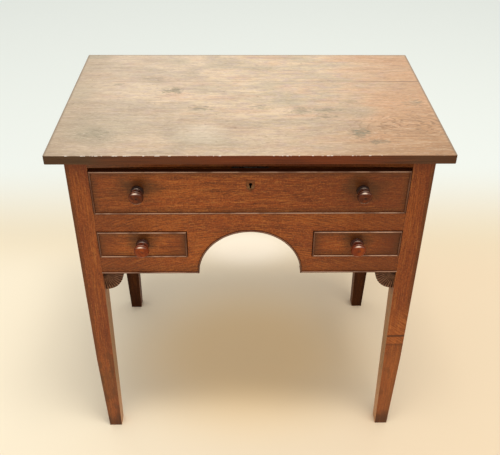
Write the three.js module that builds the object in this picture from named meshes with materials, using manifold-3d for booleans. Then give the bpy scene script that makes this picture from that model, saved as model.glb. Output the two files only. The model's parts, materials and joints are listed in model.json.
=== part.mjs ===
import * as THREE from 'three';
import { mergeVertices } from 'three/addons/utils/BufferGeometryUtils.js';
import Module from 'manifold-3d';

// An oak lowboy: one long drawer over two small ones, with an arch for the knees between them.
// Millimetres, +Z up, the front towards -Y. The case is laid out about the middle of its top.

// Top, of two boards glued edge to edge
const topWidth = 700;
const topDepth = 452;
const topThickness = 17;
const rearBoardWidth = 145;
const topCornerRadius = 3;
const overallHeight = 710;

// How far the top stands out over the frame
const sideOverhang = 29;
const frontOverhang = 17;
const backOverhang = 7;

// Legs: square at the top, tapered inside from a little below the brackets, leaning in at the foot
const legSize = 38.5;
const footSize = 27;
const taperClearance = 2;
const footLean = 5;
const leanStart = 210;

// Boards and rails of the frame
const boardThickness = 18;
const boardSetback = 1;
const apronThickness = 20;
const apronSetback = 0.5;
const railThickness = 16.5;
const railDepth = 45;

// Heights of the front from the top rail down: the openings and the wood that is left round them
const longOpeningHeight = 96.5;
const apronHeadHeight = 38.5;
const smallOpeningHeight = 59;
const apronFootHeight = 35.5;

// Joints of the frame
const jointGap = 0.3;
const tenonThickness = 8;
const tenonLength = 18;
const tenonShoulder = 10;
const boardTenonHeight = 70;
const apronTenonShoulder = 4;
const tongueLength = 20;
const tongueRootWidth = 18;
const tongueTipWidth = 26;
const stubTenon = 6;
const stubShoulder = 2.5;
const overrun = 1;

// Arch of the apron, and the wood between it and each small drawer
const archRadius = 96.5;
const archStile = 20;

// Beads on the apron and on the drawers
const beadThickness = 3;
const beadProjection = 2.5;
const beadSeat = 9;

// Fan brackets
const bracketWidth = 39;
const bracketHeight = 46.5;
const bracketFullnessShare = 0.36;
const bracketThickness = 16;
const bracketSetback = 5;
const scallopDepth = 1.2;
const fluteCount = 11;
const stepsPerFlute = 4;

// Runners, kickers, bearers and stops
const runnerLip = 14;
const guideHeight = 16;
const kickerClearance = 1.5;
const kickerLip = 20;
const bearerThickness = 22;
const innerBearerLip = 13.5;
const innerGuideWidth = 14.5;
const stopLength = 12;
const stopHeight = 14;

// Room that the drawers have
const runningGap = 0.3;
const drawerSideGap = 1;
const longTopGap = 7;
const smallTopGap = 1.2;

// Drawers
const drawerFrontThickness = 20;
const dovetailLap = 9.5;
const grooveDepth = 4;
const sideDrop = 4;
const backDrop = 8;
const longBoards = { side: 10, back: 10, bottom: 6, lift: 7, tails: 3 };
const smallBoards = { side: 8, back: 8, bottom: 5, lift: 6, tails: 2 };
const tailRootShare = 0.46;
const tailTipShare = 0.66;

// Knobs
const knobRadius = 14;
const knobProjection = 29;
const spigotRadius = 5;
const spigotLength = 15;
const longKnobHeight = 49;
const smallKnobHeight = 30;
const knobFacets = 28;

// Keyhole, escutcheon and lock
const keyholeDrop = 27;
const keyholeRadius = 3.1;
const keyholeLength = 7.5;
const keyholeSlot = 3;
const escutcheonWidth = 14.5;
const escutcheonHeight = 22.5;
const escutcheonThickness = 1.5;
const escutcheonProud = 0.3;
const escutcheonDrop = 30;
const lockWidth = 60;
const lockHeight = 38;
const lockDepth = 9;
const lockKeyDepth = 4;
const selvedgeThickness = 2;
const selvedgeSpread = 4;
const boltWidth = 22;
const boltThickness = 5;
const boltHeight = 18;
const boltThrow = 14;

// Facets on the round stretches of an outline
const archFacets = 40;
const smallCurveFacets = 6;

// Planes of the frame that pieces share
const legTop = overallHeight - topThickness;
const halfFrame = topWidth / 2 - sideOverhang;
const frontPlane = frontOverhang - topDepth / 2;
const backPlane = topDepth / 2 - backOverhang;
const legInner = halfFrame - legSize;
const frontLegBack = frontPlane + legSize;
const backLegFront = backPlane - legSize;
const railBottom = legTop - railThickness;
const apronTop = railBottom - longOpeningHeight;
const smallOpeningTop = apronTop - apronHeadHeight;
const smallOpeningBottom = smallOpeningTop - smallOpeningHeight;
const apronBottom = smallOpeningBottom - apronFootHeight;
const skirtHeight = apronBottom - beadThickness;
const taperStart = skirtHeight - bracketHeight - taperClearance;
const smallOpeningInner = archRadius + archStile;
const apronFace = frontPlane + apronSetback;
const apronBack = apronFace + apronThickness;
const sideInner = halfFrame - boardSetback - boardThickness;
const backBoardFront = backPlane - boardSetback - boardThickness;
const archCut = archRadius + beadThickness + jointGap;

const hands = [['left', -1], ['right', 1]];

const wasm = await Module();
wasm.setup();

// Finishes
function finish(colour, roughness, metalness) {
  return new THREE.MeshStandardMaterial({ color: colour, roughness, metalness, flatShading: true });
}
const finishes = {
  top: finish(0x8a5a38, 0.45, 0),
  front: finish(0x7a4020, 0.4, 0),
  leg: finish(0x713c1e, 0.45, 0),
  hidden: finish(0x80603c, 0.8, 0),
  bead: finish(0x6b3c22, 0.4, 0),
  bracket: finish(0x472b1b, 0.6, 0),
  knob: finish(0x662c18, 0.25, 0),
  brass: finish(0x6f5f42, 0.5, 0.8),
  steel: finish(0x4c4844, 0.5, 0.9),
};

// A geometry's closed surface as a solid that can be joined and cut
function solid(geometry) {
  geometry.deleteAttribute('normal');
  geometry.deleteAttribute('uv');
  const merged = mergeVertices(geometry);
  const corners = Array.from(merged.index.array);
  const kept = [];
  for (let i = 0; i < corners.length; i += 3) {
    const [a, b, c] = corners.slice(i, i + 3);
    if (a !== b && b !== c && c !== a) {
      kept.push(a, b, c);
    }
  }
  return new wasm.Manifold(new wasm.Mesh({
    numProp: 3,
    vertProperties: merged.attributes.position.array,
    triVerts: new Uint32Array(kept),
  }));
}

// A named mesh of a solid, added to its group
function addPiece(group, name, body, material) {
  const { vertProperties, triVerts } = body.getMesh();
  const geometry = new THREE.BufferGeometry();
  geometry.setAttribute('position', new THREE.BufferAttribute(vertProperties, 3));
  geometry.setIndex(new THREE.BufferAttribute(triVerts, 1));
  geometry.computeVertexNormals();
  const mesh = new THREE.Mesh(geometry, material);
  mesh.name = name;
  group.add(mesh);
  return mesh;
}

// A box between two corners, given in any order along each axis
function box(x0, x1, y0, y1, z0, z1) {
  const corners = [new THREE.Vector3(x0, y0, z0), new THREE.Vector3(x1, y1, z1)];
  return new THREE.Box3().setFromPoints(corners);
}

function grown(space) {
  return space.clone().expandByScalar(jointGap);
}

// A box as a solid, with every corner exactly on its planes
function block(space) {
  const geometry = new THREE.BoxGeometry();
  const corner = geometry.attributes.position;
  for (let i = 0; i < corner.count; i += 1) {
    const x = corner.getX(i) < 0 ? space.min.x : space.max.x;
    const y = corner.getY(i) < 0 ? space.min.y : space.max.y;
    const z = corner.getZ(i) < 0 ? space.min.z : space.max.z;
    corner.setXYZ(i, x, y, z);
  }
  return solid(geometry);
}

function blocks(spaces) {
  return spaces.map(block).reduce((whole, next) => whole.add(next));
}

function withoutBoxes(body, spaces) {
  return spaces.reduce((left, space) => left.subtract(block(space)), body);
}

// An outline drawn out along one axis, from a low to a high plane
function prism(shape, axis, low, high, curveSegments = smallCurveFacets) {
  const geometry = new THREE.ExtrudeGeometry(shape, { depth: 1, bevelEnabled: false, curveSegments });
  const point = geometry.attributes.position;
  for (let i = 0; i < point.count; i += 1) {
    const u = point.getX(i);
    const v = point.getY(i);
    const far = point.getZ(i) > 0;
    if (axis === 'x') {
      point.setXYZ(i, far ? high : low, u, v);
    } else if (axis === 'y') {
      point.setXYZ(i, u, far ? low : high, v);
    } else {
      point.setXYZ(i, u, v, far ? high : low);
    }
  }
  return solid(geometry);
}

function outline(points) {
  return new THREE.Shape(points.map(([u, v]) => new THREE.Vector2(u, v)));
}

// Top boards
function topBoard(innerY, outerY) {
  const half = topWidth / 2;
  const turn = Math.sign(outerY - innerY);
  const shape = new THREE.Shape();
  shape.moveTo(-half, innerY);
  shape.lineTo(-half, outerY - turn * topCornerRadius);
  shape.quadraticCurveTo(-half, outerY, -half + topCornerRadius, outerY);
  shape.lineTo(half - topCornerRadius, outerY);
  shape.quadraticCurveTo(half, outerY, half, outerY - turn * topCornerRadius);
  shape.lineTo(half, innerY);
  return prism(shape, 'z', legTop, overallHeight);
}

// Tenons, as boxes that reach from inside their board into the leg
function boardTenonSpans() {
  const low = skirtHeight + tenonShoulder;
  const high = railBottom - tenonShoulder;
  return [[low, low + boardTenonHeight], [high - boardTenonHeight, high]];
}

function sideBoardTenons(hand, end) {
  const x = hand * (halfFrame - boardSetback - boardThickness / 2);
  const shoulder = end < 0 ? frontLegBack : backLegFront;
  return boardTenonSpans().map(([z0, z1]) => box(
    x - tenonThickness / 2, x + tenonThickness / 2,
    shoulder - end * overrun, shoulder + end * tenonLength,
    z0, z1,
  ));
}

function backBoardTenons(hand) {
  const y = backPlane - boardSetback - boardThickness / 2;
  return boardTenonSpans().map(([z0, z1]) => box(
    hand * (legInner - overrun), hand * (legInner + tenonLength),
    y - tenonThickness / 2, y + tenonThickness / 2,
    z0, z1,
  ));
}

function apronTenons(hand) {
  const y = apronFace + apronThickness / 2;
  const spans = [[apronBottom, smallOpeningBottom], [smallOpeningTop, apronTop]];
  return spans.map(([z0, z1]) => box(
    hand * (legInner - overrun), hand * (legInner + tenonLength),
    y - tenonThickness / 2, y + tenonThickness / 2,
    z0 + apronTenonShoulder, z1 - apronTenonShoulder,
  ));
}

// Dovetail tongue on each end of the top rail, let into the top of the leg
function railTongue(hand, gap) {
  const y = frontPlane + legSize / 2;
  const root = tongueRootWidth / 2 + gap;
  const tip = tongueTipWidth / 2 + gap;
  const near = hand * (legInner - overrun);
  const far = hand * (legInner + tongueLength + gap);
  const shape = outline([[near, y - root], [far, y - tip], [far, y + tip], [near, y + root]]);
  return prism(shape, 'z', railBottom - gap, legTop + (gap > 0 ? overrun : 0));
}

// Legs: the inner faces taper to the foot, and the outer side leans in below leanStart
function taper(height, start) {
  return Math.max(0, 1 - height / start);
}

function legBlank(hand, end) {
  const levels = [0, leanStart, taperStart, legTop].sort((a, b) => a - b);
  const geometry = new THREE.BoxGeometry(1, 1, 1, 1, 1, levels.length - 1);
  const point = geometry.attributes.position;
  const outerY = end < 0 ? frontPlane : backPlane;
  for (let i = 0; i < point.count; i += 1) {
    const level = Math.round((point.getZ(i) + 1 / 2) * (levels.length - 1));
    const height = levels[level];
    const outerX = halfFrame - footLean * taper(height, leanStart);
    const innerX = legInner + (legSize - footLean - footSize) * taper(height, taperStart);
    const depth = legSize - (legSize - footSize) * taper(height, taperStart);
    const outside = point.getX(i) * hand > 0;
    const outward = point.getY(i) * end > 0;
    point.setXYZ(i, hand * (outside ? outerX : innerX), outward ? outerY : outerY - end * depth, height);
  }
  return solid(geometry);
}

function leg(hand, end) {
  const tenons = [...sideBoardTenons(hand, end), ...(end < 0 ? apronTenons(hand) : backBoardTenons(hand))];
  const mortised = withoutBoxes(legBlank(hand, end), tenons.map(grown));
  return end < 0 ? mortised.subtract(railTongue(hand, jointGap)) : mortised;
}

function sideBoard(hand) {
  const outer = halfFrame - boardSetback;
  const panel = box(hand * sideInner, hand * outer, frontLegBack, backLegFront, skirtHeight, legTop);
  return blocks([panel, ...sideBoardTenons(hand, -1), ...sideBoardTenons(hand, 1)]);
}

// Stub tenons of the inner bearers, in the apron at the front and in the back board
function bearerTenon(hand, end) {
  const shoulder = end < 0 ? apronBack : backBoardFront;
  const bottom = smallOpeningBottom - bearerThickness;
  return box(
    hand * (smallOpeningInner - innerGuideWidth + stubShoulder),
    hand * (smallOpeningInner + innerBearerLip - stubShoulder),
    shoulder - end * overrun, shoulder + end * stubTenon,
    bottom + stubShoulder, smallOpeningBottom - stubShoulder,
  );
}

function backBoard() {
  const panel = box(-legInner, legInner, backBoardFront, backBoardFront + boardThickness, skirtHeight, legTop);
  const board = blocks([panel, ...backBoardTenons(-1), ...backBoardTenons(1)]);
  return withoutBoxes(board, [bearerTenon(-1, 1), bearerTenon(1, 1)].map(grown));
}

// The bolt's width and thickness about the middle of the lock, between two heights
function boltSpace(gap, z0, z1) {
  const y = drawerFrontThickness - lockDepth / 2;
  return box(
    -boltWidth / 2 - gap, boltWidth / 2 + gap,
    y - boltThickness / 2 - gap, y + boltThickness / 2 + gap,
    z0, z1,
  );
}

const longFrontHeight = railBottom - apronTop - runningGap - longTopGap;
const longDrawerBase = apronTop + runningGap;

function topRail() {
  const bar = block(box(-legInner, legInner, apronFace, apronFace + railDepth, railBottom, legTop));
  const whole = bar.add(railTongue(-1, 0)).add(railTongue(1, 0));
  const boltTop = longDrawerBase + longFrontHeight + boltThrow;
  const mortise = boltSpace(overrun, railBottom - overrun, boltTop + overrun);
  mortise.translate(new THREE.Vector3(0, apronFace, 0));
  return whole.subtract(block(mortise));
}

// Apron: one board, with the arch in its lower edge and a notch for a drawer at each end
function apron() {
  const foot = Math.acos(beadThickness / archCut);
  const rise = Math.PI / 2;
  const shape = new THREE.Shape();
  shape.moveTo(-legInner, apronTop);
  shape.lineTo(-legInner, smallOpeningTop);
  shape.lineTo(-smallOpeningInner, smallOpeningTop);
  shape.lineTo(-smallOpeningInner, smallOpeningBottom);
  shape.lineTo(-legInner, smallOpeningBottom);
  shape.lineTo(-legInner, apronBottom);
  shape.absarc(0, skirtHeight, archCut, rise + foot, rise - foot, true);
  shape.lineTo(legInner, apronBottom);
  shape.lineTo(legInner, smallOpeningBottom);
  shape.lineTo(smallOpeningInner, smallOpeningBottom);
  shape.lineTo(smallOpeningInner, smallOpeningTop);
  shape.lineTo(legInner, smallOpeningTop);
  shape.lineTo(legInner, apronTop);
  const board = prism(shape, 'y', apronFace, apronBack, archFacets);
  const whole = board.add(blocks([...apronTenons(-1), ...apronTenons(1)]));
  return withoutBoxes(whole, [bearerTenon(-1, -1), bearerTenon(1, -1)].map(grown));
}

function archBead() {
  const shape = new THREE.Shape();
  shape.absarc(0, skirtHeight, archRadius + beadThickness, 0, Math.PI, false);
  shape.absarc(0, skirtHeight, archRadius, Math.PI, 0, true);
  return prism(shape, 'y', apronFace - beadProjection, apronBack, archFacets);
}

function apronBead(hand) {
  const strip = box(
    hand * archCut, hand * legInner, apronFace - beadProjection, apronBack, skirtHeight, apronBottom,
  );
  return block(strip);
}

// Fan bracket: a full quarter oval with a scallop at the end of each flute. A fullness share of a half
// makes it a true oval, and a smaller one makes its outline squarer.
function bracket(hand) {
  const count = fluteCount * stepsPerFlute;
  const power = 1 / bracketFullnessShare;
  const points = [[hand * legInner, skirtHeight]];
  for (let i = 0; i <= count; i += 1) {
    const angle = (i / count) * (Math.PI / 2);
    const dip = scallopDepth * (1 - Math.abs(Math.sin((i / stepsPerFlute) * Math.PI)));
    const reach = (Math.cos(angle) ** power + Math.sin(angle) ** power) ** -bracketFullnessShare;
    const across = (bracketWidth - dip) * reach * Math.cos(angle);
    const down = (bracketHeight - dip) * reach * Math.sin(angle);
    points.push([hand * (legInner - across), skirtHeight - down]);
  }
  const front = apronFace + bracketSetback;
  return prism(outline(points), 'y', front, front + bracketThickness);
}

// Runner of the long drawer, which also keeps the small drawer below it from tipping
function longRunner(hand) {
  const lip = box(
    hand * (legInner - runnerLip), hand * legInner, apronBack, backBoardFront, smallOpeningTop, apronTop,
  );
  const guide = box(
    hand * legInner, hand * sideInner, frontLegBack, backLegFront, smallOpeningTop, apronTop + guideHeight,
  );
  const root = box(
    hand * (legInner - runnerLip), hand * sideInner, frontLegBack, backLegFront, smallOpeningTop, apronTop,
  );
  return blocks([lip, guide, root]);
}

function kicker(hand) {
  const bottom = railBottom - longTopGap + kickerClearance;
  const railBack = apronFace + railDepth;
  const inner = hand * (legInner - kickerLip);
  const lip = box(inner, hand * legInner, railBack, backBoardFront, bottom, legTop);
  const root = box(inner, hand * sideInner, railBack, backLegFront, bottom, legTop);
  return blocks([lip, root]);
}

function outerBearer(hand) {
  const bottom = smallOpeningBottom - bearerThickness;
  const inner = hand * (legInner - runnerLip);
  const lip = box(inner, hand * legInner, apronBack, backBoardFront, bottom, smallOpeningBottom);
  const root = box(inner, hand * sideInner, frontLegBack, backLegFront, bottom, smallOpeningBottom);
  const guide = box(
    hand * legInner, hand * sideInner, frontLegBack, backLegFront, bottom, smallOpeningBottom + guideHeight,
  );
  return blocks([lip, root, guide]);
}

function innerBearer(hand) {
  const bottom = smallOpeningBottom - bearerThickness;
  const outer = hand * (smallOpeningInner - innerGuideWidth);
  const bed = box(
    outer, hand * (smallOpeningInner + innerBearerLip), apronBack, backBoardFront, bottom, smallOpeningBottom,
  );
  const guide = box(
    outer, hand * smallOpeningInner, apronBack, backBoardFront, bottom, smallOpeningBottom + guideHeight,
  );
  return blocks([bed, guide, bearerTenon(hand, -1), bearerTenon(hand, 1)]);
}

function drawerStop(hand) {
  return block(box(
    hand * (legInner - runnerLip), hand * legInner,
    backBoardFront - stopLength, backBoardFront,
    apronTop, apronTop + stopHeight,
  ));
}

// Profile of a knob from the drawer's face outwards: shares of its radius and of its projection
const knobProfileShares = [
  [0.66, 0], [0.7, 0.04], [0.68, 0.1], [0.56, 0.15], [0.46, 0.18], [0.45, 0.24], [0.55, 0.28],
  [0.6, 0.33], [0.56, 0.39], [0.46, 0.43], [0.47, 0.5], [0.6, 0.57], [0.82, 0.65], [0.95, 0.73],
  [1, 0.81], [0.98, 0.88], [0.9, 0.935], [0.78, 0.955], [0.5, 0.985], [0.2, 1], [0, 1],
];

function knob() {
  const turned = knobProfileShares.map(([radius, reach]) => (
    new THREE.Vector2(knobRadius * radius, knobProjection * reach)
  ));
  const spigot = [
    new THREE.Vector2(0, -spigotLength),
    new THREE.Vector2(spigotRadius, -spigotLength),
    new THREE.Vector2(spigotRadius, 0),
  ];
  const geometry = new THREE.LatheGeometry([...spigot, ...turned], knobFacets);
  return solid(geometry.rotateZ(Math.PI));
}

// Round bore into the face of a drawer front
function bore(x, z, radius, depth) {
  const circle = new THREE.Shape();
  circle.absarc(x, z, radius, 0, 2 * Math.PI, false);
  return prism(circle, 'y', -overrun, depth, knobFacets / 2);
}

// Keyhole: a round eye over a slot
function keyhole(z, depth) {
  const slot = box(-keyholeSlot / 2, keyholeSlot / 2, -overrun, depth, z - keyholeLength, z);
  return bore(0, z, keyholeRadius, depth).add(block(slot));
}

function shield(z, gap, low, high) {
  const half = escutcheonWidth / 2 + gap;
  const reach = escutcheonHeight / 2 + gap;
  const shape = new THREE.Shape();
  shape.moveTo(-half, z);
  shape.quadraticCurveTo(-half, z - reach / 2, 0, z - reach);
  shape.quadraticCurveTo(half, z - reach / 2, half, z);
  shape.lineTo(half, z + reach);
  shape.lineTo(-half, z + reach);
  return prism(shape, 'y', low, high);
}

// Dovetails on one end of a drawer side, drawn in the side's plane and cut through its thickness
function tails(spec, hand, rootY, length, z0, z1, gap) {
  const pitch = (z1 - z0) / spec.tails;
  const outer = spec.width / 2;
  const direction = Math.sign(length);
  const near = rootY - direction * overrun;
  const far = rootY + length + direction * gap;
  const root = (pitch * tailRootShare) / 2 + gap;
  const tip = (pitch * tailTipShare) / 2 + gap;
  const x0 = hand * (outer - spec.side - gap);
  const x1 = hand * (outer + (gap > 0 ? overrun : 0));
  const all = [];
  for (let i = 0; i < spec.tails; i += 1) {
    const z = z0 + pitch * (i + 1 / 2);
    const shape = outline([[near, z - root], [far, z - tip], [far, z + tip], [near, z + root]]);
    all.push(prism(shape, 'x', Math.min(x0, x1), Math.max(x0, x1)));
  }
  return all.reduce((whole, next) => whole.add(next));
}

// Strip of cock bead, mitred at both ends; inward points from the drawer's edge to its middle
function beadStrip(start, finishPoint, inward) {
  const along = finishPoint.clone().sub(start).normalize();
  const step = inward.clone().multiplyScalar(beadThickness);
  const shift = along.clone().multiplyScalar(beadThickness);
  const gap = along.clone().multiplyScalar(jointGap);
  const a = start.clone().add(gap);
  const b = finishPoint.clone().sub(gap);
  const points = [a, b, b.clone().sub(shift).add(step), a.clone().add(shift).add(step)];
  return prism(new THREE.Shape(points), 'y', -beadProjection, beadSeat);
}

function addBeads(group, name, width, height) {
  const corners = [[-1, 0], [1, 0], [1, 1], [-1, 1]];
  const [p, q, r, s] = corners.map(([side, up]) => new THREE.Vector2((side * width) / 2, up * height));
  const strips = [
    ['bottom', p, q, new THREE.Vector2(0, 1)],
    ['right', q, r, new THREE.Vector2(-1, 0)],
    ['top', r, s, new THREE.Vector2(0, -1)],
    ['left', s, p, new THREE.Vector2(1, 0)],
  ];
  for (const [place, start, end, inward] of strips) {
    addPiece(group, `${name}_bead_${place}`, beadStrip(start, end, inward), finishes.bead);
  }
}

// Drawer, laid out from the middle of the lower edge of its front face.
// Its front is rebated for the beads, its sides are dovetailed to front and back,
// and its bottom slides in grooves under the back.
function drawer(name, spec) {
  const group = new THREE.Group();
  const half = spec.width / 2;
  const frontBack = drawerFrontThickness;
  const sideHeight = spec.height - sideDrop;
  const panelTop = spec.lift + spec.bottom;
  const panel = box(
    jointGap - half + spec.side - grooveDepth, half - spec.side + grooveDepth - jointGap,
    frontBack - grooveDepth + jointGap, spec.depth,
    spec.lift, panelTop,
  );
  const groove = block(grown(panel));
  const backSpace = box(-half, half, spec.depth - spec.back, spec.depth, panelTop, spec.height - backDrop);
  const tailLength = drawerFrontThickness - dovetailLap;
  const tailsOf = (hand, gap) => [
    tails(spec, hand, frontBack, -tailLength, 0, sideHeight, gap),
    tails(spec, hand, backSpace.min.y, spec.back, panelTop, backSpace.max.z, gap),
  ];

  const rear = box(-half, half, beadSeat, frontBack, 0, spec.height);
  const face = box(
    beadThickness - half, half - beadThickness, 0, frontBack, beadThickness, spec.height - beadThickness,
  );
  let front = blocks([rear, face]).subtract(groove);
  let back = block(backSpace);
  for (const [, hand] of hands) {
    const [frontSockets, backSockets] = tailsOf(hand, jointGap);
    front = front.subtract(frontSockets);
    back = back.subtract(backSockets);
  }
  for (const x of spec.knobs) {
    front = front.subtract(bore(x, spec.knobHeight, spigotRadius + jointGap, spigotLength + jointGap));
  }
  if (spec.locked) {
    front = front.subtract(lockRecess(spec.height));
  }
  addPiece(group, `${name}_front`, front, finishes.front);
  for (const [word, hand] of hands) {
    const [frontTails, backTails] = tailsOf(hand, 0);
    const board = box(hand * (half - spec.side), hand * half, frontBack, spec.depth, 0, sideHeight);
    const side = block(board).subtract(block(backSpace)).add(frontTails).add(backTails).subtract(groove);
    addPiece(group, `${name}_side_${word}`, side, finishes.hidden);
  }
  addPiece(group, `${name}_back`, back, finishes.hidden);
  addPiece(group, `${name}_bottom`, block(panel), finishes.hidden);
  addBeads(group, name, spec.width, spec.height);
  spec.knobs.forEach((x, i) => {
    const word = spec.knobs.length > 1 ? `_${hands[i][0]}` : '';
    const turned = addPiece(group, `${name}_knob${word}`, knob(), finishes.knob);
    turned.position.set(x, 0, spec.knobHeight);
  });
  return group;
}

// Lock: a case let into the back of the long drawer's front, under a selvedge in its top edge
function lockSpaces(height) {
  const back = drawerFrontThickness;
  const front = back - lockDepth;
  const selvedge = (lockWidth + selvedgeSpread) / 2;
  return [
    box(-lockWidth / 2, lockWidth / 2, front, back, height - selvedgeThickness - lockHeight, height),
    box(-selvedge, selvedge, front, back, height - selvedgeThickness, height),
  ];
}

function lockRecess(height) {
  const recess = blocks(lockSpaces(height).map(grown));
  const eye = keyhole(height - keyholeDrop, drawerFrontThickness);
  return recess.add(eye).add(shield(height - escutcheonDrop, jointGap, -overrun, escutcheonThickness));
}

function addLock(group, boltGroup, height) {
  const pocket = boltSpace(jointGap, height - boltHeight - overrun, height + overrun);
  const key = keyhole(height - keyholeDrop, drawerFrontThickness - lockDepth + lockKeyDepth);
  const lockCase = blocks(lockSpaces(height)).subtract(block(pocket)).subtract(key);
  addPiece(group, 'lock_case', lockCase, finishes.steel);
  addPiece(boltGroup, 'lock_bolt', block(boltSpace(0, height - boltHeight, height)), finishes.steel);
  const plate = shield(height - escutcheonDrop, 0, -escutcheonProud, escutcheonThickness - jointGap);
  const eye = keyhole(height - keyholeDrop, drawerFrontThickness);
  addPiece(group, 'escutcheon', plate.subtract(eye), finishes.brass);
}

// Case
function carcase() {
  const group = new THREE.Group();
  const jointY = topDepth / 2 - rearBoardWidth;
  addPiece(group, 'top_front_board', topBoard(jointY, -topDepth / 2), finishes.top);
  addPiece(group, 'top_rear_board', topBoard(jointY, topDepth / 2), finishes.top);
  addPiece(group, 'front_top_rail', topRail(), finishes.front);
  addPiece(group, 'front_apron', apron(), finishes.front);
  addPiece(group, 'arch_bead', archBead(), finishes.bead);
  addPiece(group, 'back_board', backBoard(), finishes.leg);
  for (const [word, hand] of hands) {
    addPiece(group, `leg_front_${word}`, leg(hand, -1), finishes.leg);
    addPiece(group, `leg_back_${word}`, leg(hand, 1), finishes.leg);
    addPiece(group, `side_board_${word}`, sideBoard(hand), finishes.leg);
    addPiece(group, `apron_bead_${word}`, apronBead(hand), finishes.bead);
    addPiece(group, `bracket_${word}`, bracket(hand), finishes.bracket);
    addPiece(group, `long_runner_${word}`, longRunner(hand), finishes.hidden);
    addPiece(group, `kicker_${word}`, kicker(hand), finishes.hidden);
    addPiece(group, `outer_bearer_${word}`, outerBearer(hand), finishes.hidden);
    addPiece(group, `inner_bearer_${word}`, innerBearer(hand), finishes.hidden);
    addPiece(group, `drawer_stop_${word}`, drawerStop(hand), finishes.hidden);
  }
  return group;
}

// Drawers in their openings, with the long drawer's knobs in line with the small ones
const smallInner = smallOpeningInner + drawerSideGap;
const smallOuter = legInner - drawerSideGap;
const smallCentre = (smallInner + smallOuter) / 2;

function longDrawer() {
  const group = drawer('long_drawer', {
    ...longBoards,
    width: 2 * (legInner - drawerSideGap),
    height: longFrontHeight,
    depth: backBoardFront - stopLength - runningGap - apronFace,
    knobs: [-smallCentre, smallCentre],
    knobHeight: longKnobHeight,
    locked: true,
  });
  const bolt = new THREE.Group();
  addLock(group, bolt, longFrontHeight);
  group.add(bolt);
  group.position.set(0, apronFace, longDrawerBase);
  return group;
}

function smallDrawer(word, hand) {
  const group = drawer(`small_drawer_${word}`, {
    ...smallBoards,
    width: smallOuter - smallInner,
    height: smallOpeningTop - smallOpeningBottom - runningGap - smallTopGap,
    depth: backBoardFront - runningGap - apronFace,
    knobs: [0],
    knobHeight: smallKnobHeight,
    locked: false,
  });
  group.position.set(hand * smallCentre, apronFace, smallOpeningBottom + runningGap);
  return group;
}

// The whole piece stands about the middle of its footprint, knobs and top taken together
const lowboy = new THREE.Group();
lowboy.add(carcase());
lowboy.add(longDrawer());
for (const [word, hand] of hands) {
  lowboy.add(smallDrawer(word, hand));
}
const frontReach = Math.max(topDepth / 2, knobProjection - apronFace);
lowboy.position.y = (frontReach - topDepth / 2) / 2;

export default lowboy;
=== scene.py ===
"""Looks of an oak lowboy: waxed boards, worn beads, carved brackets, turned knobs and a plain stage, with
some light and shade painted into the colours.
"""

import json
import math
from types import SimpleNamespace

import bmesh
import bpy
from mathutils import Matrix, Vector, noise

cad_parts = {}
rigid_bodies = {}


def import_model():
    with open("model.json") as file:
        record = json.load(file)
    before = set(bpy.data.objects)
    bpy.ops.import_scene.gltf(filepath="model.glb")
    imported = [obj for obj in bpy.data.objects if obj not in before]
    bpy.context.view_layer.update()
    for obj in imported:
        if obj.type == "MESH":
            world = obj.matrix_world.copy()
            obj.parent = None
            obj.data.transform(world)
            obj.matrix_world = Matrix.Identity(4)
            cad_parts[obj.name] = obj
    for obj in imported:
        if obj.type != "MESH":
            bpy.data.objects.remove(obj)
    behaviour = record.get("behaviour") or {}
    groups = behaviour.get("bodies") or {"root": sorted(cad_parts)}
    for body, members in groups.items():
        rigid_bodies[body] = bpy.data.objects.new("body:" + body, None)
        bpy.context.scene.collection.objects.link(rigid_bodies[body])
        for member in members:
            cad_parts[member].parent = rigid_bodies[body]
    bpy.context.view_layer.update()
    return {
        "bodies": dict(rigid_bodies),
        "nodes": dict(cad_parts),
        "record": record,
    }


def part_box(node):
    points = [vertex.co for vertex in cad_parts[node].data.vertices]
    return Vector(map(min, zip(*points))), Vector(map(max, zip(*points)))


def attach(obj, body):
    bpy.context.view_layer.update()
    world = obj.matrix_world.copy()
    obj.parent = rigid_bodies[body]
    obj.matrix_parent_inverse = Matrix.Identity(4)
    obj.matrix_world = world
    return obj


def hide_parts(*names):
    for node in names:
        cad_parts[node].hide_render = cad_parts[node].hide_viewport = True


bl_info = {
    "name": "Oak Lowboy",
    "version": (1, 0, 0),
    "blender": (4, 5, 0),
    "location": "3D View > Sidebar > Lowboy",
    "description": "Dresses the packed lowboy in worn, waxed oak and stages it",
    "category": "Object",
}

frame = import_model()
SLOTS = {part["node"]: part["material_slot"] for part in frame["record"]["subparts"]}
BODIES = {
    child.name: empty.name.split(":")[1] for empty in frame["bodies"].values() for child in empty.children
}

# Planes of the frame that materials and pieces share, in metres
TOP_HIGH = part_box("top_front_board")[1]
JOINT_Y = TOP_HIGH.y
TOP_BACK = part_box("top_rear_board")[1].y
ARCH_LOW, ARCH_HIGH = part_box("arch_bead")
ARCH_RADIUS = (ARCH_HIGH.x - ARCH_LOW.x) / 2
SKIRT = ARCH_LOW.z
BEAD_FACE = ARCH_LOW.y
FRONT_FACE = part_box("long_drawer_front")[0].y
LEG_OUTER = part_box("leg_front_right")[1].x
LEG_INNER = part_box("long_runner_right")[0].x
LEG_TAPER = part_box("bracket_right")[0].z - 0.002

# Distances in metres under which points are welded, slivers are dropped and planes count as one
WELD, SLIVER, CLOSE = 2e-6, 1e-6, 1e-5

# The angle under which two faces count as one, and over which an edge counts as sharp
FLAT, SHARP = math.radians(0.5), math.radians(25)

# The least length of a bead's long edge, and how far a fan's rim is sunk, in metres
LONG_EDGE, RIM_SUNK = 0.01, 0.0008

# Stretches of the hollowed rail, steps along the arch, and a fan's points round its corner and out from it
RAIL_CUTS, ARCH_STEPS, FAN_COLUMNS, FAN_ROWS = 16, 96, 133, 22

# What the lamps aim at, and half the floor's width, in metres
LAMP_AIM = Vector((0, 0, 0.5))
FLOOR_REACH = 14.0

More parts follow.
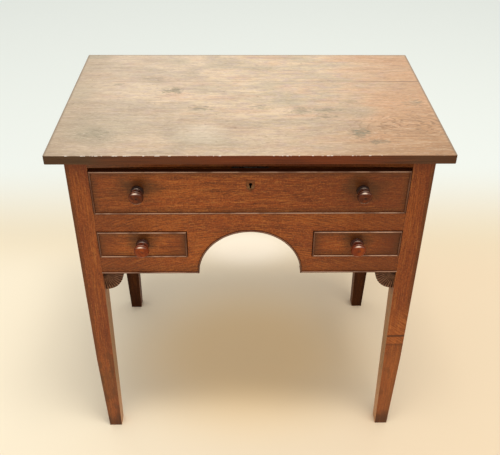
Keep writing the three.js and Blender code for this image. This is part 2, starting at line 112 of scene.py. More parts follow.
# The camera's place in metres, its turn in radians and its sensor's width in millimetres
CAMERA_PLACE = (-0.02037, -1.24840, 1.28928)
CAMERA_YAW, CAMERA_PITCH, CAMERA_ROLL = 0.01914, 0.61549, 0.00748
SENSOR_WIDTH = 36.0


def tone(code):
    """A colour written as a web code, as the linear colour that nodes take."""
    parts = [int(code[i : i + 2], 16) / 255 for i in (1, 3, 5)]
    linear = [p / 12.92 if p <= 0.04045 else ((p + 0.055) / 1.055) ** 2.4 for p in parts]
    return (*linear, 1.0)


def paint(colour):
    """A web code as a linear colour. Any other colour stays what it is."""
    return tone(colour) if isinstance(colour, str) else colour


def colour_setting(name, description, code):
    return bpy.props.FloatVectorProperty(
        name=name, description=description, subtype="COLOR", size=4, min=0.0, max=1.0, default=tone(code)
    )


def number_setting(name, description, default, **more):
    return bpy.props.FloatProperty(name=name, description=description, default=default, min=0.0, **more)


def length_setting(name, description, default):
    return number_setting(name, description, default, subtype="DISTANCE", unit="LENGTH")


def share_setting(name, description, default):
    return number_setting(name, description, default, max=1.0, subtype="FACTOR")


def count_setting(name, description, default):
    return bpy.props.IntProperty(name=name, description=description, default=default, min=3)


def group_setting(kind):
    """A group of settings, named after its docstring."""
    return bpy.props.PointerProperty(type=kind, name=kind.__doc__, description=kind.__doc__)


class LOWBOY_PG_top(bpy.types.PropertyGroup):
    """Top boards"""

    pale: colour_setting("Pale wood", "Worn, waxed face of the top", "#e4cbab")
    grey: colour_setting("Greyed wood", "Greyed stretches of the top", "#c0ad92")
    warm: colour_setting("Warm wood", "Orange-brown face near the right end", "#c59064")
    blush: colour_setting("Blush", "Pinkish stretches of the top", "#d3a789")
    vein: colour_setting("Vein", "Dark lines of the grain", "#8f7158")
    stain: colour_setting("Stain", "Blue-grey stains", "#6c6853")
    edge: colour_setting("Edge", "Dark face of the top's edges", "#6b2f10")
    arris: length_setting("Arris", "Rounding of the top's arrises", 0.0012)
    sheen: share_setting("Wax", "Weight of the clear coat of wax", 0.35)


class LOWBOY_PG_case(bpy.types.PropertyGroup):
    """Front, legs and boards of the case"""

    red: colour_setting("Red-brown", "Waxed oak of the drawers and the apron", "#a04f1c")
    dark: colour_setting("Dark brown", "Dark lines of the grain", "#4f230d")
    gold: colour_setting("Golden brown", "Polished, lighter stretches", "#b86425")
    # Laid as painted shade: towards the ends of the front boards, over the right small drawer, and on the
    # legs just under the top.
    dusk: colour_setting("Dusk", "Darker, redder ends of the boards", "#5e2a10")
    olive: colour_setting("Olive brown", "Old wax near edges and knobs", "#4a2f14")
    leg: colour_setting("Leg", "Waxed oak of the legs", "#7d3a18")
    # Laid on the inward faces of the front legs below the taper.
    inner_taper: colour_setting("Dry wood", "Dry, pale inner faces of the tapered legs", "#ad875c")
    # Painted shade: a darker base colour for the back legs, which stand in the table's shade.
    back_leg: colour_setting("Back leg", "Dark oak of the back legs", "#4a2410")
    ring: length_setting("Ring spacing", "Distance between two growth rings", 0.0034)
    arris: length_setting("Arris", "Rounding of worn arrises", 0.0008)
    rail_hollow: length_setting("Rail hollow", "How far the rail's lower edge is worn up", 0.0026)
    wax: share_setting("Wax roughness", "Roughness of the wax", 0.36)


class LOWBOY_PG_beads(bpy.types.PropertyGroup):
    """Cock beads and the bead of the arch"""

    dark: colour_setting("Dark", "Sides of the bead", "#552a14")
    # Laid mostly on the crown's upward side: real rubbing with a painted highlight.
    worn: colour_setting("Worn crown", "Rubbed crown of the bead", "#cda386")
    crown: length_setting("Crown", "Radius of the bead's rounded crown", 0.00135)


class LOWBOY_PG_brackets(bpy.types.PropertyGroup):
    """Carved fan brackets"""

    wood: colour_setting("Wood", "Dark carved oak", "#472818")
    ridge: colour_setting("Ridge", "Rubbed ridges between the flutes", "#9e7254")
    flutes: count_setting("Flutes", "Flutes of each fan", 11)
    depth: length_setting("Depth", "Depth of a flute at the rim", 0.0024)
    scallop: length_setting("Scallop", "Dip of the rim between two flutes", 0.0012)
    fullness: share_setting("Fullness", "A half is a true oval, less is squarer", 0.45)


class LOWBOY_PG_knobs(bpy.types.PropertyGroup):
    """Turned knobs"""

    brown: colour_setting("Brown", "Polished wood of the long drawer's knobs", "#4a200d")
    red: colour_setting("Red", "Polished wood of the small drawers' knobs", "#702d10")
    # Dirt in the grooves and dark figure; also laid as painted shade on the neck behind the head.
    ring: colour_setting("Ring", "Dirt in the turned grooves", "#210d06")
    # Laid mostly as painted highlights on the knobs' crests, rims and head, over a little real rubbing, and
    # as a painted floor reflection on the lower rim.
    rubbed: colour_setting("Rubbed", "Rubbed crests of the turning", "#f0d8c2")
    glow: colour_setting("Glow", "Polished middle of the head", "#b8561a")
    radius: length_setting("Radius", "Radius of a knob's head", 0.014)
    slim: share_setting("Slimness", "The long drawer's knobs, as a share of that radius", 0.94)
    facets: count_setting("Facets", "Facets round a knob", 72)


class LOWBOY_PG_stage(bpy.types.PropertyGroup):
    """Floor, lamps and camera"""

    floor: colour_setting("Floor", "Pale floor near the table", "#e9d5b6")
    floor_left: colour_setting("Floor, left", "Pale floor on the left of the table", "#f3e8cf")
    backdrop: colour_setting("Backdrop", "Pale, cool sweep behind the table", "#ebf0ea")
    sky: number_setting("Sky", "Strength of the even light", 0.72)
    lamp: number_setting("Lamp", "Power of the lamp overhead", 118.0, subtype="POWER", unit="POWER")
    lens: number_setting("Lens", "Focal length", 50.27, subtype="DISTANCE_CAMERA")


class LOWBOY_PG_settings(bpy.types.PropertyGroup):
    """All the settings of the lowboy"""

    top: group_setting(LOWBOY_PG_top)
    case: group_setting(LOWBOY_PG_case)
    beads: group_setting(LOWBOY_PG_beads)
    brackets: group_setting(LOWBOY_PG_brackets)
    knobs: group_setting(LOWBOY_PG_knobs)
    stage: group_setting(LOWBOY_PG_stage)


def sign(operation, swapped=False):
    """An arithmetic sign between wires and numbers, as the Math node that does the same."""

    def apply(self, *others):
        values = (*others, self) if swapped else (self, *others)
        return self.bench.math(operation, *values)

    return apply


class Wire:
    """A value on its way through a node tree. A sum on it adds its Math nodes to the tree."""

    __add__ = __radd__ = sign("ADD")
    __mul__ = __rmul__ = sign("MULTIPLY")
    __sub__ = sign("SUBTRACT")
    __rsub__ = sign("SUBTRACT", swapped=True)
    __truediv__ = sign("DIVIDE")
    __rtruediv__ = sign("DIVIDE", swapped=True)
    __pow__ = sign("POWER")
    __abs__ = sign("ABSOLUTE")

    def __init__(self, bench, socket):
        self.bench = bench
        self.socket = socket

    def math(self, operation, *values):
        return self.bench.math(operation, self, *values)

    def other(self, output):
        return Wire(self.bench, self.socket.node.outputs[output])


class Bench:
    """A node tree that is being filled."""

    def __init__(self, tree):
        self.tree = tree

    def node(self, kind, setup=None, inputs=None, output=0):
        """One node: its setup first, then the values or links of its sockets."""
        made = self.tree.nodes.new(kind)
        for name, value in (setup or {}).items():
            setattr(made, name, value)
        for key, value in (inputs or {}).items():
            if isinstance(value, Wire):
                self.tree.links.new(value.socket, made.inputs[key])
            else:
                made.inputs[key].default_value = value
        return Wire(self, made.outputs[output]) if made.outputs else made

    def math(self, operation, *values):
        return self.node("ShaderNodeMath", {"operation": operation}, dict(enumerate(values)))

    def vector(self, x, y, z):
        return self.node("ShaderNodeCombineXYZ", None, {0: x, 1: y, 2: z})

    def split(self, vector):
        x = self.node("ShaderNodeSeparateXYZ", None, {0: vector})
        return x, x.other(1), x.other(2)

    def step(self, value, low, high):
        """0 below low, 1 above high and smooth between them; with low above high it falls instead."""
        if low > high:
            return 1 - self.step(value, high, low)
        smooth = {"interpolation_type": "SMOOTHSTEP"}
        return self.node("ShaderNodeMapRange", smooth, {0: value, 1: low, 2: high})


class Wood(Bench):
    """The material of one kind of wood or metal, whose colour is laid on in layers."""

    def __init__(self, name, colour):
        self.material = bpy.data.materials.new(name)
        self.material.use_nodes = True
        self.material.node_tree.nodes.clear()
        super().__init__(self.material.node_tree)
        self.colour = colour
        self.place = self.node("ShaderNodeTexCoord", output=3)
        self.x, self.y, self.z = self.split(self.place)
        self.normal = self.split(self.node("ShaderNodeTexCoord", output=1))

    def attribute(self, name, output=2):
        return self.node("ShaderNodeAttribute", {"attribute_name": name}, output=output)

    def local(self):
        """The place about the middle of the piece's own box."""
        return self.split(self.attribute("place", 1))

    def noise(self, place, scale=1.0, detail=2.0, rough=0.5, bend=0.0):
        """Noise at a place, which is a vector or three values."""
        vector = self.vector(*place) if isinstance(place, tuple) else place
        inputs = {"Vector": vector, "Scale": scale, "Detail": detail, "Roughness": rough, "Distortion": bend}
        return self.node("ShaderNodeTexNoise", {"noise_dimensions": "3D"}, inputs)

    def lay(self, share, colour):
        """Lays a share of a colour over the layers below it."""
        inputs = {0: share, 6: paint(self.colour), 7: paint(colour)}
        self.colour = self.node("ShaderNodeMix", {"data_type": "RGBA"}, inputs, 2)

    def streak(self, field, low, high, strength, colour):
        """Lays a colour where a field passes from low to high."""
        self.lay(self.step(field, low, high) * strength, colour)

    def edge_distance(self):
        """Distance on a board's face to the nearest of its arrises."""
        x, y, z = self.local()
        a, b, c = self.split(self.attribute("half", 1))
        p, q, r = a - abs(x), b - abs(y), c - abs(z)
        low, high = p.math("MINIMUM", q), p.math("MAXIMUM", q)
        return low.math("MAXIMUM", high.math("MINIMUM", r))

    def spot(self, u, v, wide, tall, waver=0.0):
        """A soft spot about (u, v), each given as a field less its centre."""
        reach = ((u / wide) ** 2 + (v / tall) ** 2) ** 0.5
        return self.step(reach + waver, 1.0, 0.25)

    def knot(self, u, v, size):
        """How far grain lines are pushed aside near a knot; u and v are fields less its centre."""
        near = ((u / (size * 1.6)) ** 2 + (v / size) ** 2).math("MULTIPLY", -1.0).math("EXPONENT")
        return v * near * -0.85

    def grain(self, along, spacing, heart=0.0, rise=0.0, aside=0.0, short=26):
        """Rings, bands, fine lines, pores and clouds of oak whose grain runs along one axis."""
        shift = self.attribute("board")
        axes = {"x": (self.x, self.z, self.y), "y": (self.y, self.z, self.x), "z": (self.z, self.x, self.y)}
        u, v, w = axes[along]
        u, v, w = u + shift * 3.7, v + u * rise + aside + shift * 0.91, w + aside + shift * 0.37
        wander = (self.noise((u * 3, v * 8, w * 8)) - 0.5) * 0.022
        v, w = v + wander, w + wander
        drift = self.noise((u * 2.3 + 9, v * 1.5, w * 1.5), detail=1.0)
        x, y, z = self.local()
        middle = {"x": z + y, "y": x + z, "z": x + y}[along]
        cross = middle + aside + wander - heart + u * rise
        depth = 0.008 + drift * 0.05
        ring = ((cross**2 + depth**2) ** 0.5) / spacing
        ring = ring + (self.noise((u * 9, v * 90, w * 90)) - 0.5) * 0.9
        return SimpleNamespace(
            early=(1 - ring.math("FRACT")) ** 2.5,
            pores=self.step(self.noise((u * 100, v * 1300, w * 1300), detail=1.0), 0.54, 0.7),
            lines=self.noise((u * short, v * 430, w * 430), detail=3.0, rough=0.68),
            flecks=self.noise((u * 120, v * 640, w * 640), detail=1.0),
            bands=self.noise((u * 12, v * 120, w * 120)),
            cloud=self.noise((u * 5, v * 22, w * 22), bend=0.6),
            slow=self.noise((u * 1.6, v * 6, w * 6)),
        )

    def finish(
        self, roughness, height=None, depth=0.0002, metal=0.0, coat=0.0, coat_roughness=0.25, gloss=0.3
    ):
        """The surface's shader, with a height field for its relief."""
        inputs = {"Base Color": self.colour, "Roughness": roughness, "Metallic": metal, "Coat Weight": coat}
        inputs["Coat Roughness"] = coat_roughness
        inputs["Specular IOR Level"] = gloss
        if height is not None:
            bump = {"Strength": 1.0, "Distance": depth, "Height": height}
            inputs["Normal"] = self.node("ShaderNodeBump", None, bump)
        surface = self.node("ShaderNodeBsdfPrincipled", None, inputs)
        self.node("ShaderNodeOutputMaterial", None, {"Surface": surface})
        return self.material


def made_once(builder):
    """A material builder whose material is made at its first use."""
    made = {}

    def use(*choice):
        if choice not in made:
            made[choice] = builder(*choice)
        return made[choice]

    return use


def settings():
    return bpy.context.scene.lowboy


def middle_of(node):
    low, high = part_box(node)
    return (low + high) / 2


@made_once
def top_oak():
    """Pale, worn oak of the top: greyed on the left, warmer on the right, stained and chipped, with painted
    shade towards its front.
    """
    look = settings().top
    wood = Wood("worn_waxed_top", look.grey)
    x, y = wood.x, wood.y
    aside = 0.0
    for knot_x, knot_y, size in (
        (-0.148, 0.041, 0.016),
        (0.197, -0.140, 0.024),
        (0.317, -0.013, 0.022),
        (-0.280, -0.148, 0.022),
        (0.096, -0.052, 0.018),
        (0.291, -0.108, 0.022),
    ):
        aside = aside + wood.knot(x - knot_x, y - knot_y, size)
    grain = wood.grain("x", 0.0056, aside=aside)
    up = wood.step(wood.normal[2], 0.4, 0.9)
    patches = wood.noise((x * 6, y * 15, 0.0), detail=4.0, bend=0.8)
    wood.lay(wood.step(patches, 0.36, 0.62), look.pale)
    blush = wood.noise((x * 11 + 5, y * 34, 1.0), detail=4.0, bend=0.5)
    wood.streak(blush, 0.44, 0.7, 0.55, look.blush)
    hue = wood.noise((x * 45, y * 130, 2.0), detail=3.0, bend=0.4)
    wood.streak(hue, 0.5, 0.66, 0.4, "#e3c699")
    wood.streak(hue, 0.5, 0.36, 0.45, "#bfa5a0")
    wood.streak(x - y * 0.3 + (patches - 0.5) * 0.4, 0.05, -0.3, 0.45, "#bcab98")
    # Painted shade: the top is darker and greyer towards its front.
    wood.streak(y + (patches - 0.5) * 0.2, 0.06, -0.2, 0.5, "#aa947c")
    right = wood.step(x + (patches - 0.5) * 0.4 - y * 0.2, 0.06, 0.36)
    wood.lay(right * 0.8, look.warm)
    wood.streak(x + (patches - 0.5) * 0.1, -0.24, -0.35, 0.4, "#9a8468")
    for spot_x, spot_y, wide, tall, strength, code in (
        (0.37, -0.24, 0.3, 0.22, 0.6, "#a4794e"),
        (0.345, -0.205, 0.06, 0.05, 0.4, "#8f6238"),
        (-0.08, -0.14, 0.07, 0.05, 0.45, "#efdfc6"),
    ):
        wood.lay(wood.spot(x - spot_x, y - spot_y, wide, tall, (blush - 0.5) * 0.8) * strength, code)
    wood.lay(grain.early * (0.1 + right * 0.3), look.vein)
    wood.streak(grain.bands, 0.5, 0.7, 0.2, look.vein)
    wood.streak(grain.bands, 0.46, 0.3, 0.16, "#e6cdae")
    wood.streak(grain.lines, 0.52, 0.68, 0.34 + right * 0.24, look.vein)
    wood.streak(grain.lines, 0.46, 0.3, 0.26, "#ecd6b8")
    turn = (((x - 0.291) * 0.55) ** 2 + (y + 0.108) ** 2) ** 0.5
    swirl = (turn / 0.010 + (blush - 0.5) * 6).math("FRACT")
    reach = wood.spot(x - 0.30, y + 0.10, 0.13, 0.09, (patches - 0.5) * 1.2)
    wood.streak(abs(swirl - 0.5), 0.2, 0.05, reach * 0.7, "#85613f")
    wood.lay(grain.pores * 0.3, "#7c6450")
    for cloud_x, cloud_y, wide, tall, strength in (
        (-0.255, -0.130, 0.11, 0.075, 0.42),
        (-0.08, -0.165, 0.13, 0.04, 0.26),
        (-0.33, 0.218, 0.07, 0.022, 0.6),
        (-0.146, 0.195, 0.055, 0.03, 0.42),
        (-0.02, 0.165, 0.11, 0.03, 0.18),
        (0.12, 0.2, 0.06, 0.022, 0.2),
        (0.03, 0.07, 0.055, 0.04, 0.3),
        (-0.33, 0.04, 0.05, 0.06, 0.3),
        (0.06, -0.02, 0.05, 0.03, 0.25),
        (0.17, -0.045, 0.12, 0.045, 0.22),
    ):
        haze = wood.spot(x - cloud_x, y - cloud_y, wide, tall, (patches - 0.5) * 1.6)
        wood.lay(haze * strength, "#a59a82")
    waver = (wood.noise((x * 70, y * 120, 0.0), detail=4.0, rough=0.65, bend=1.0) - 0.5) * 3.0
    across, down = (x * 0.7 + y * 1.3) * 150, (x * 1.3 - y * 0.7) * 30
    feather = 0.5 + wood.step(wood.noise((across, down, 0.0), detail=3.0), 0.4, 0.6) * 0.5
    feather = feather * (0.6 + wood.step(grain.lines, 0.42, 0.58) * 0.5)
    for mark_x, mark_y, wide, tall, strength in (
        (-0.150, 0.041, 0.030, 0.019, 0.85),
        (-0.094, -0.038, 0.030, 0.016, 0.68),
        (-0.275, -0.142, 0.040, 0.028, 0.4),
        (-0.260, 0.073, 0.014, 0.007, 0.6),
        (0.020, -0.035, 0.028, 0.012, 0.55),
        (0.095, -0.050, 0.026, 0.020, 0.7),
        (0.150, -0.046, 0.034, 0.013, 0.65),
        (0.138, -0.074, 0.030, 0.013, 0.55),
        (0.195, -0.138, 0.022, 0.022, 1.0),
        (0.222, -0.172, 0.024, 0.012, 0.8),
        (0.317, -0.013, 0.024, 0.021, 0.65),
        (0.195, -0.010, 0.034, 0.016, 0.4),
        (0.030, 0.150, 0.050, 0.016, 0.35),
        (-0.200, 0.100, 0.040, 0.018, 0.3),
    ):
        spot = wood.spot(x - mark_x, y - mark_y, wide, tall, waver)
        wood.lay(spot * feather * strength, look.stain)
    wood.streak(grain.flecks, 0.56, 0.72, 0.3, look.vein)
    wood.streak(grain.flecks, 0.42, 0.28, 0.25, "#efdcc0")
    wood.streak(wood.noise((x * 90, y * 90, 7.0), detail=1.0), 0.72, 0.78, 0.35, "#6b513f")
    wood.streak(abs(y - JOINT_Y), 0.0022, 0.0006, 0.2 + right * 0.7, "#7a5f49")
    outline = (TOP_HIGH.x - abs(x)).math("MINIMUM", TOP_BACK - y)
    wood.streak(outline + (grain.bands - 0.5) * 0.004, 0.006, 0.0012, 0.7, "#7d6a56")
    side_shift = wood.noise((x * 5, y * 5, 3.0))
    ends = wood.step(abs(x + 0.02) + (side_shift - 0.5) * 0.3, 0.17, 0.3)
    face, wood.colour = wood.colour, look.edge
    wood.lay(ends, "#53331d")
    wood.streak(x + (side_shift - 0.5) * 0.3, 0.05, -0.32, 0.45, "#4a3a24")
    side_lines = wood.noise((x * 9, y * 9, wood.z * 400), detail=3.0)
    wood.streak(side_lines, 0.45, 0.7, 0.6, "#2c160b")
    wood.streak(side_lines, 0.42, 0.25, 0.3, "#8a4f2c")
    wood.lay(up, face)
    chip = wood.noise((x * 150, y * 70, 0.0), detail=3.0) + wood.noise((x * 7, y * 7, 5.0)) * 0.5
    chip = chip + wood.step(abs(x + 0.215), 0.16, 0.06) * 0.1 - wood.step(x, 0.0, 0.1) * 0.02
    upper = wood.step(wood.z, TOP_HIGH.z - 0.004, TOP_HIGH.z - 0.002)
    wood.streak(chip, 0.85, 0.9, wood.attribute("arris") * upper * 0.95, "#f6eee2")
    rough = 0.46 + grain.pores * 0.1 + (1 - up) * 0.05
    height = grain.early * -0.4 + grain.pores * -0.5 + grain.lines * 0.6
    return wood.finish(rough, height, 0.0003, coat=up * look.sheen, coat_roughness=0.3, gloss=0.2)


def case_colours(wood, grain):
    """Waxed oak from its grain: red-brown with dark lines and golden, polished stretches."""
    look = settings().case
    speckle = wood.noise(wood.place, scale=330)
    wood.streak(grain.cloud, 0.35, 0.7, 0.8, look.gold)
    wood.streak(grain.slow, 0.58, 0.34, 0.5, "#7a3415")
    wood.lay(grain.early * 0.34, look.dark)
    wood.streak(grain.bands, 0.5, 0.72, 0.35, look.dark)
    wood.streak(grain.lines, 0.5, 0.66, 0.62, look.dark)
    wood.streak(grain.lines, 0.46, 0.3, 0.5, "#cf8a42")
    wood.streak(grain.flecks, 0.54, 0.72, 0.4, look.dark)
    wood.streak(grain.flecks, 0.44, 0.28, 0.22, "#c9843f")
    wood.streak(speckle, 0.52, 0.66, 0.3, look.dark)
    wood.streak(speckle, 0.46, 0.34, 0.3, "#c47a3c")
    wood.lay(grain.pores * 0.5, "#35170a")


def case_relief(grain):
    return grain.early * -0.5 + grain.pores * -0.6 + grain.lines * 0.6


@made_once
def front_oak(piece):
    """Oak of a piece of the front, with its grain along the front."""
    look = settings().case
    wood = Wood("front_oak_" + piece, look.red)
    x, z = wood.x, wood.z
    rise, glow_x, reach, strength = {
        "long_drawer": (-0.05, -0.04, 0.3, 0.53),
        "apron": (0.0, -0.02, 0.3, 0.55),
        "rail": (0.0, 0.1, 0.35, 0.0),
        "small_left": (0.03, -0.2, 0.085, 0.62),
        "small_right": (-0.02, 0.185, 0.085, 0.88),
    }[piece]
    grain = wood.grain("x", look.ring, heart=0.012, rise=rise)
    if piece == "apron":
        swing = (x**2 + (z - SKIRT + 0.5) ** 2) ** 0.5
        waver = wood.noise((x * 5, z * 14, 0.0))
        grain.early = (1 - (swing / 0.005 + waver * 6).math("FRACT")) ** 2.0
        grain.lines = wood.noise((x * 26, swing * 430, 0.0), detail=3.0, rough=0.68)
    case_colours(wood, grain)
    # Painted shade: each front darkens towards its ends from a lighter stretch about glow_x, and the right
    # small drawer is a little darker all over.
    glow = wood.step(abs(x - glow_x) + (grain.cloud - 0.5) * reach * 0.5, reach * 0.2, reach)
    wood.lay(glow * strength, look.dusk)
    if piece == "small_right":
        wood.lay(0.16, look.dusk)
    if piece == "rail":
        # Painted shade: the rail lies in the shadow of the top's overhang and is darkest on its left; it is
        # also greyer towards its left end.
        wood.lay(0.56 + wood.step(x, -0.25, -0.05) * 0.22 - wood.step(x, 0.06, 0.3) * 0.1, "#2a1006")
        wood.streak(x, -0.15, -0.27, 0.45, "#6e5747")
    if piece in ("long_drawer", "small_left", "small_right"):
        edge = wood.edge_distance() + (grain.cloud - 0.5) * 0.012
        wood.streak(edge, 0.018, 0.002, 0.45, look.olive)
        node = {"long_drawer": "long_drawer_knob_right", "small_left": "small_drawer_left_knob"}
        knob = middle_of(node.get(piece, "small_drawer_right_knob"))
        waver = (wood.noise((x * 30, z * 40, 0.0), detail=3.0) - 0.5) * 1.1
        across = abs(x) - abs(knob.x)
        halo = wood.spot(across, z - knob.z - 0.006, 0.055 if piece == "long_drawer" else 0.038, 0.034, waver)
        wood.lay(halo * 0.65, look.olive)
        wood.lay(wood.spot(across, z - knob.z - 0.014, 0.018, 0.015, waver) * 0.4, "#441b07")
    if piece == "long_drawer":
        # Painted shade: the front is painted near-black inside the keyhole, behind the escutcheon.
        off = abs(z - middle_of("escutcheon").z)
        near = wood.step(abs(x), 0.0062, 0.0058) * wood.step(off, 0.0125, 0.012)
        inside = wood.step(wood.y, FRONT_FACE + 0.0004, FRONT_FACE + 0.0012)
        wood.lay(near * inside, "#0b0604")
    if piece == "apron":
        wood.streak(z + (grain.cloud - 0.5) * 0.02, SKIRT + 0.03, SKIRT, 0.25, look.olive)
    wood.lay(wood.attribute("arris") * (0.1 if piece == "rail" else 0.3), "#a56a42")
    rough = look.wax + grain.pores * 0.12 + (grain.cloud - 0.5) * 0.12
    shine = 0.06 if piece == "rail" else 0.2
    return wood.finish(rough, case_relief(grain), 0.00025, coat=shine * 0.3, coat_roughness=0.22, gloss=shine)


@made_once
def leg_oak(place):
    """Oak of the legs, with upright grain and the flecks of its rays."""
    look = settings().case
    # The back legs take a darker base colour as painted shade.
    wood = Wood("leg_oak_" + place, look.leg if place == "front" else look.back_leg)
    x, z = wood.x, wood.z
    grain = wood.grain("z", 0.0029, short=14)
    case_colours(wood, grain)
    slant = wood.vector(z * 120 + x * 200, x * 50, wood.y * 50)
    fleck = wood.step(wood.noise(slant, bend=1.2), 0.58, 0.72) * wood.step(grain.slow, 0.45, 0.6)
    wood.lay(fleck * 0.3, "#c8743c")
    wood.lay(0.34, "#74300f")
    outer = LEG_OUTER - abs(x) - wood.step(z, 0.21, 0.0) * 0.005
    outer = outer + (grain.slow - 0.5) * 0.006
    wood.streak(outer, 0.010, 0.002, (0.75 + wood.step(z, 0.3, 0.6) * 0.25) * 0.6, look.olive)
    # Painted shade: the legs darken just under the top's overhang.
    wood.streak(z + (grain.cloud - 0.5) * 0.03, 0.655, 0.69, 0.55, look.dusk)
    if place == "front":
        right = wood.step(x, -0.1, 0.1)
        rays = wood.step(z + (grain.cloud - 0.5) * 0.05, 0.40, 0.275) * wood.step(z, 0.249, 0.256) * right
        wood.lay(rays * 0.22, "#d2742e")
        streak = wood.noise(((z + x * 0.8) * 430, (x - z * 0.8) * 26, wood.y * 20))
        wood.lay(rays * wood.step(streak, 0.48, 0.62) * 0.26, "#dc8a48")
        wood.lay(rays * wood.step(streak, 0.52, 0.38) * 0.34, look.dark)
        band = wood.step(abs(z - 0.274 - (x - 0.3) * 0.02), 0.004, 0.0015) * wood.step(x, 0.2, 0.21)
        lower = wood.step(abs(z - 0.249), 0.004, 0.001) * wood.step(x, 0.2, 0.21)
        wood.lay(band * 0.9 + lower * 0.5, "#4a240e")
        mottle = wood.noise((x * 60, wood.y * 60, z * 26), detail=3.0)
        low = wood.step(z + (grain.cloud - 0.5) * 0.1, 0.3, 0.18)
        wood.lay(low * (0.1 + right * 0.12), "#b9733c")
        wood.lay(low * wood.step(mottle, 0.5, 0.62) * (0.6 - right * 0.25), "#5b3418")
        patch = wood.step(abs(z - 0.135) + (grain.cloud - 0.5) * 0.03, 0.065, 0.025) * (1 - right)
        wood.lay(patch * 0.34, "#53391f")
        # Painted shade: the front legs darken towards the foot, where they meet the floor.
        wood.streak(z + (grain.cloud - 0.5) * 0.018, 0.052, 0.01, 0.62, "#352013")
        # The inward faces of the front legs below the taper are paler; the orange towards the foot is a
        # painted reflection of the floor.
        taper = wood.step(wood.normal[0] * wood.math("SIGN", x) * -1, 0.4, 0.9)
        taper = taper * wood.step(z + (grain.cloud - 0.5) * 0.05, LEG_TAPER + 0.01, LEG_TAPER - 0.02)
        wood.lay(taper * 0.56, look.inner_taper)
        wood.lay(taper * wood.step(z, 0.2, 0.06) * 0.4, "#e09a62")
    else:
        normal_x, normal_y, _ = wood.normal
        # Painted shade: the back legs are darkened all over, most on their front faces low down, and also on
        # their inward faces.
        shade_under_table = wood.step(normal_y, -0.2, -0.8) * wood.step(z, 0.5, 0.1)
        wood.lay(0.3 + shade_under_table * 0.5, "#1d0d04")
        wood.streak(normal_x * wood.math("SIGN", x) * -1, 0.2, 0.8, 0.45, "#3a1d0c")
    wood.lay(wood.attribute("arris") * 0.4, "#bd8158")
    rough = look.wax + 0.04 + grain.pores * 0.12
    shine = 0.2 if place == "front" else 0.06
    return wood.finish(rough, case_relief(grain), 0.00022, coat=shine / 4, coat_roughness=0.25, gloss=shine)


@made_once
def side_oak(along):
    """Oak of the side boards and the back board."""
    look = settings().case
    wood = Wood("side_oak_" + along, look.leg)
    grain = wood.grain(along, 0.005)
    case_colours(wood, grain)
    wood.lay(0.25, "#4a2812")
    edge = wood.edge_distance() + (grain.cloud - 0.5) * 0.02
    wood.streak(edge, 0.03, 0.004, 0.4, look.olive)
    return wood.finish(look.wax + 0.06 + grain.pores * 0.12, case_relief(grain), 0.00025, gloss=0.2)


@made_once
def inner_oak(along):
    """Bare aged oak of the drawer boxes and the runners."""
    wood = Wood("inner_oak_" + along, "#93693f")
    grain = wood.grain(along, 0.0042)
    wood.lay(wood.step(grain.cloud, 0.35, 0.7), "#b08656")
    wood.lay(grain.early * 0.4, "#5f4022")
    wood.streak(grain.lines, 0.48, 0.72, 0.4, "#6e4b29")
    wood.lay(grain.pores * 0.35, "#4a301a")
    edge = wood.edge_distance() + (grain.cloud - 0.5) * 0.01
    wood.streak(edge, 0.008, 0.001, 0.3, "#57391f")
    wood.lay(wood.attribute("arris") * 0.4, "#c49a66")
    return wood.finish(0.66 + grain.pores * 0.1, case_relief(grain), 0.0003)


@made_once
def bead_oak(along, curved=False):
    """Dark bead, rubbed pale along its crown, with a painted highlight on its upward side."""
    look = settings().beads
    wood = Wood("bead_oak_" + ("arch" if curved else along), look.dark)
    grain = wood.grain(along, 0.003)
    wood.streak(grain.lines, 0.4, 0.7, 0.5, "#3a1d0e")
    front = wood.step(wood.y, BEAD_FACE + 0.0016, BEAD_FACE + 0.0001)
    # Painted highlight: the worn colour is laid mostly where the crown faces up towards the lamps, over real
    # rubbing.
    upward = wood.step(wood.normal[2], -0.2, 0.55)
    u = {"x": wood.x, "z": wood.z}[along]
    rub = wood.noise((u * 26, wood.z * 8, wood.x * 8), detail=3.0)
    share = 0.45 if along == "z" or curved else 1.0
    share = share - wood.step(wood.z, SKIRT + 0.008, SKIRT + 0.004) * share * 0.42
    crown = front * (0.14 + upward * 0.8) * (0.35 + wood.step(rub, 0.34, 0.56) * 0.65) * share
    wood.lay(crown, look.worn)
    rough = 0.4 + grain.lines * 0.1
    return wood.finish(rough, grain.lines * 0.5, 0.0001, coat=0.05, coat_roughness=0.2, gloss=0.15)


@made_once
def bracket_oak():
    """Dark carved oak, rubbed on the ridges between the flutes."""
    look = settings().brackets
    wood = Wood("carved_bracket_oak", look.wood)
    grain = wood.grain("x", 0.003)
    wood.streak(grain.lines, 0.4, 0.7, 0.6, "#3b2114")
    ridge = wood.attribute("ridge")
    rub = wood.step(wood.noise((wood.x * 130, wood.z * 130, 0.0)), 0.36, 0.58)
    wood.lay(ridge * (0.5 + rub * 0.5), look.ridge)
    wood.streak(ridge, 0.4, 0.0, 0.7, "#241108")
    return wood.finish(0.5 + grain.lines * 0.1, grain.lines * 0.5, 0.0001, coat=0.03, gloss=0.1)


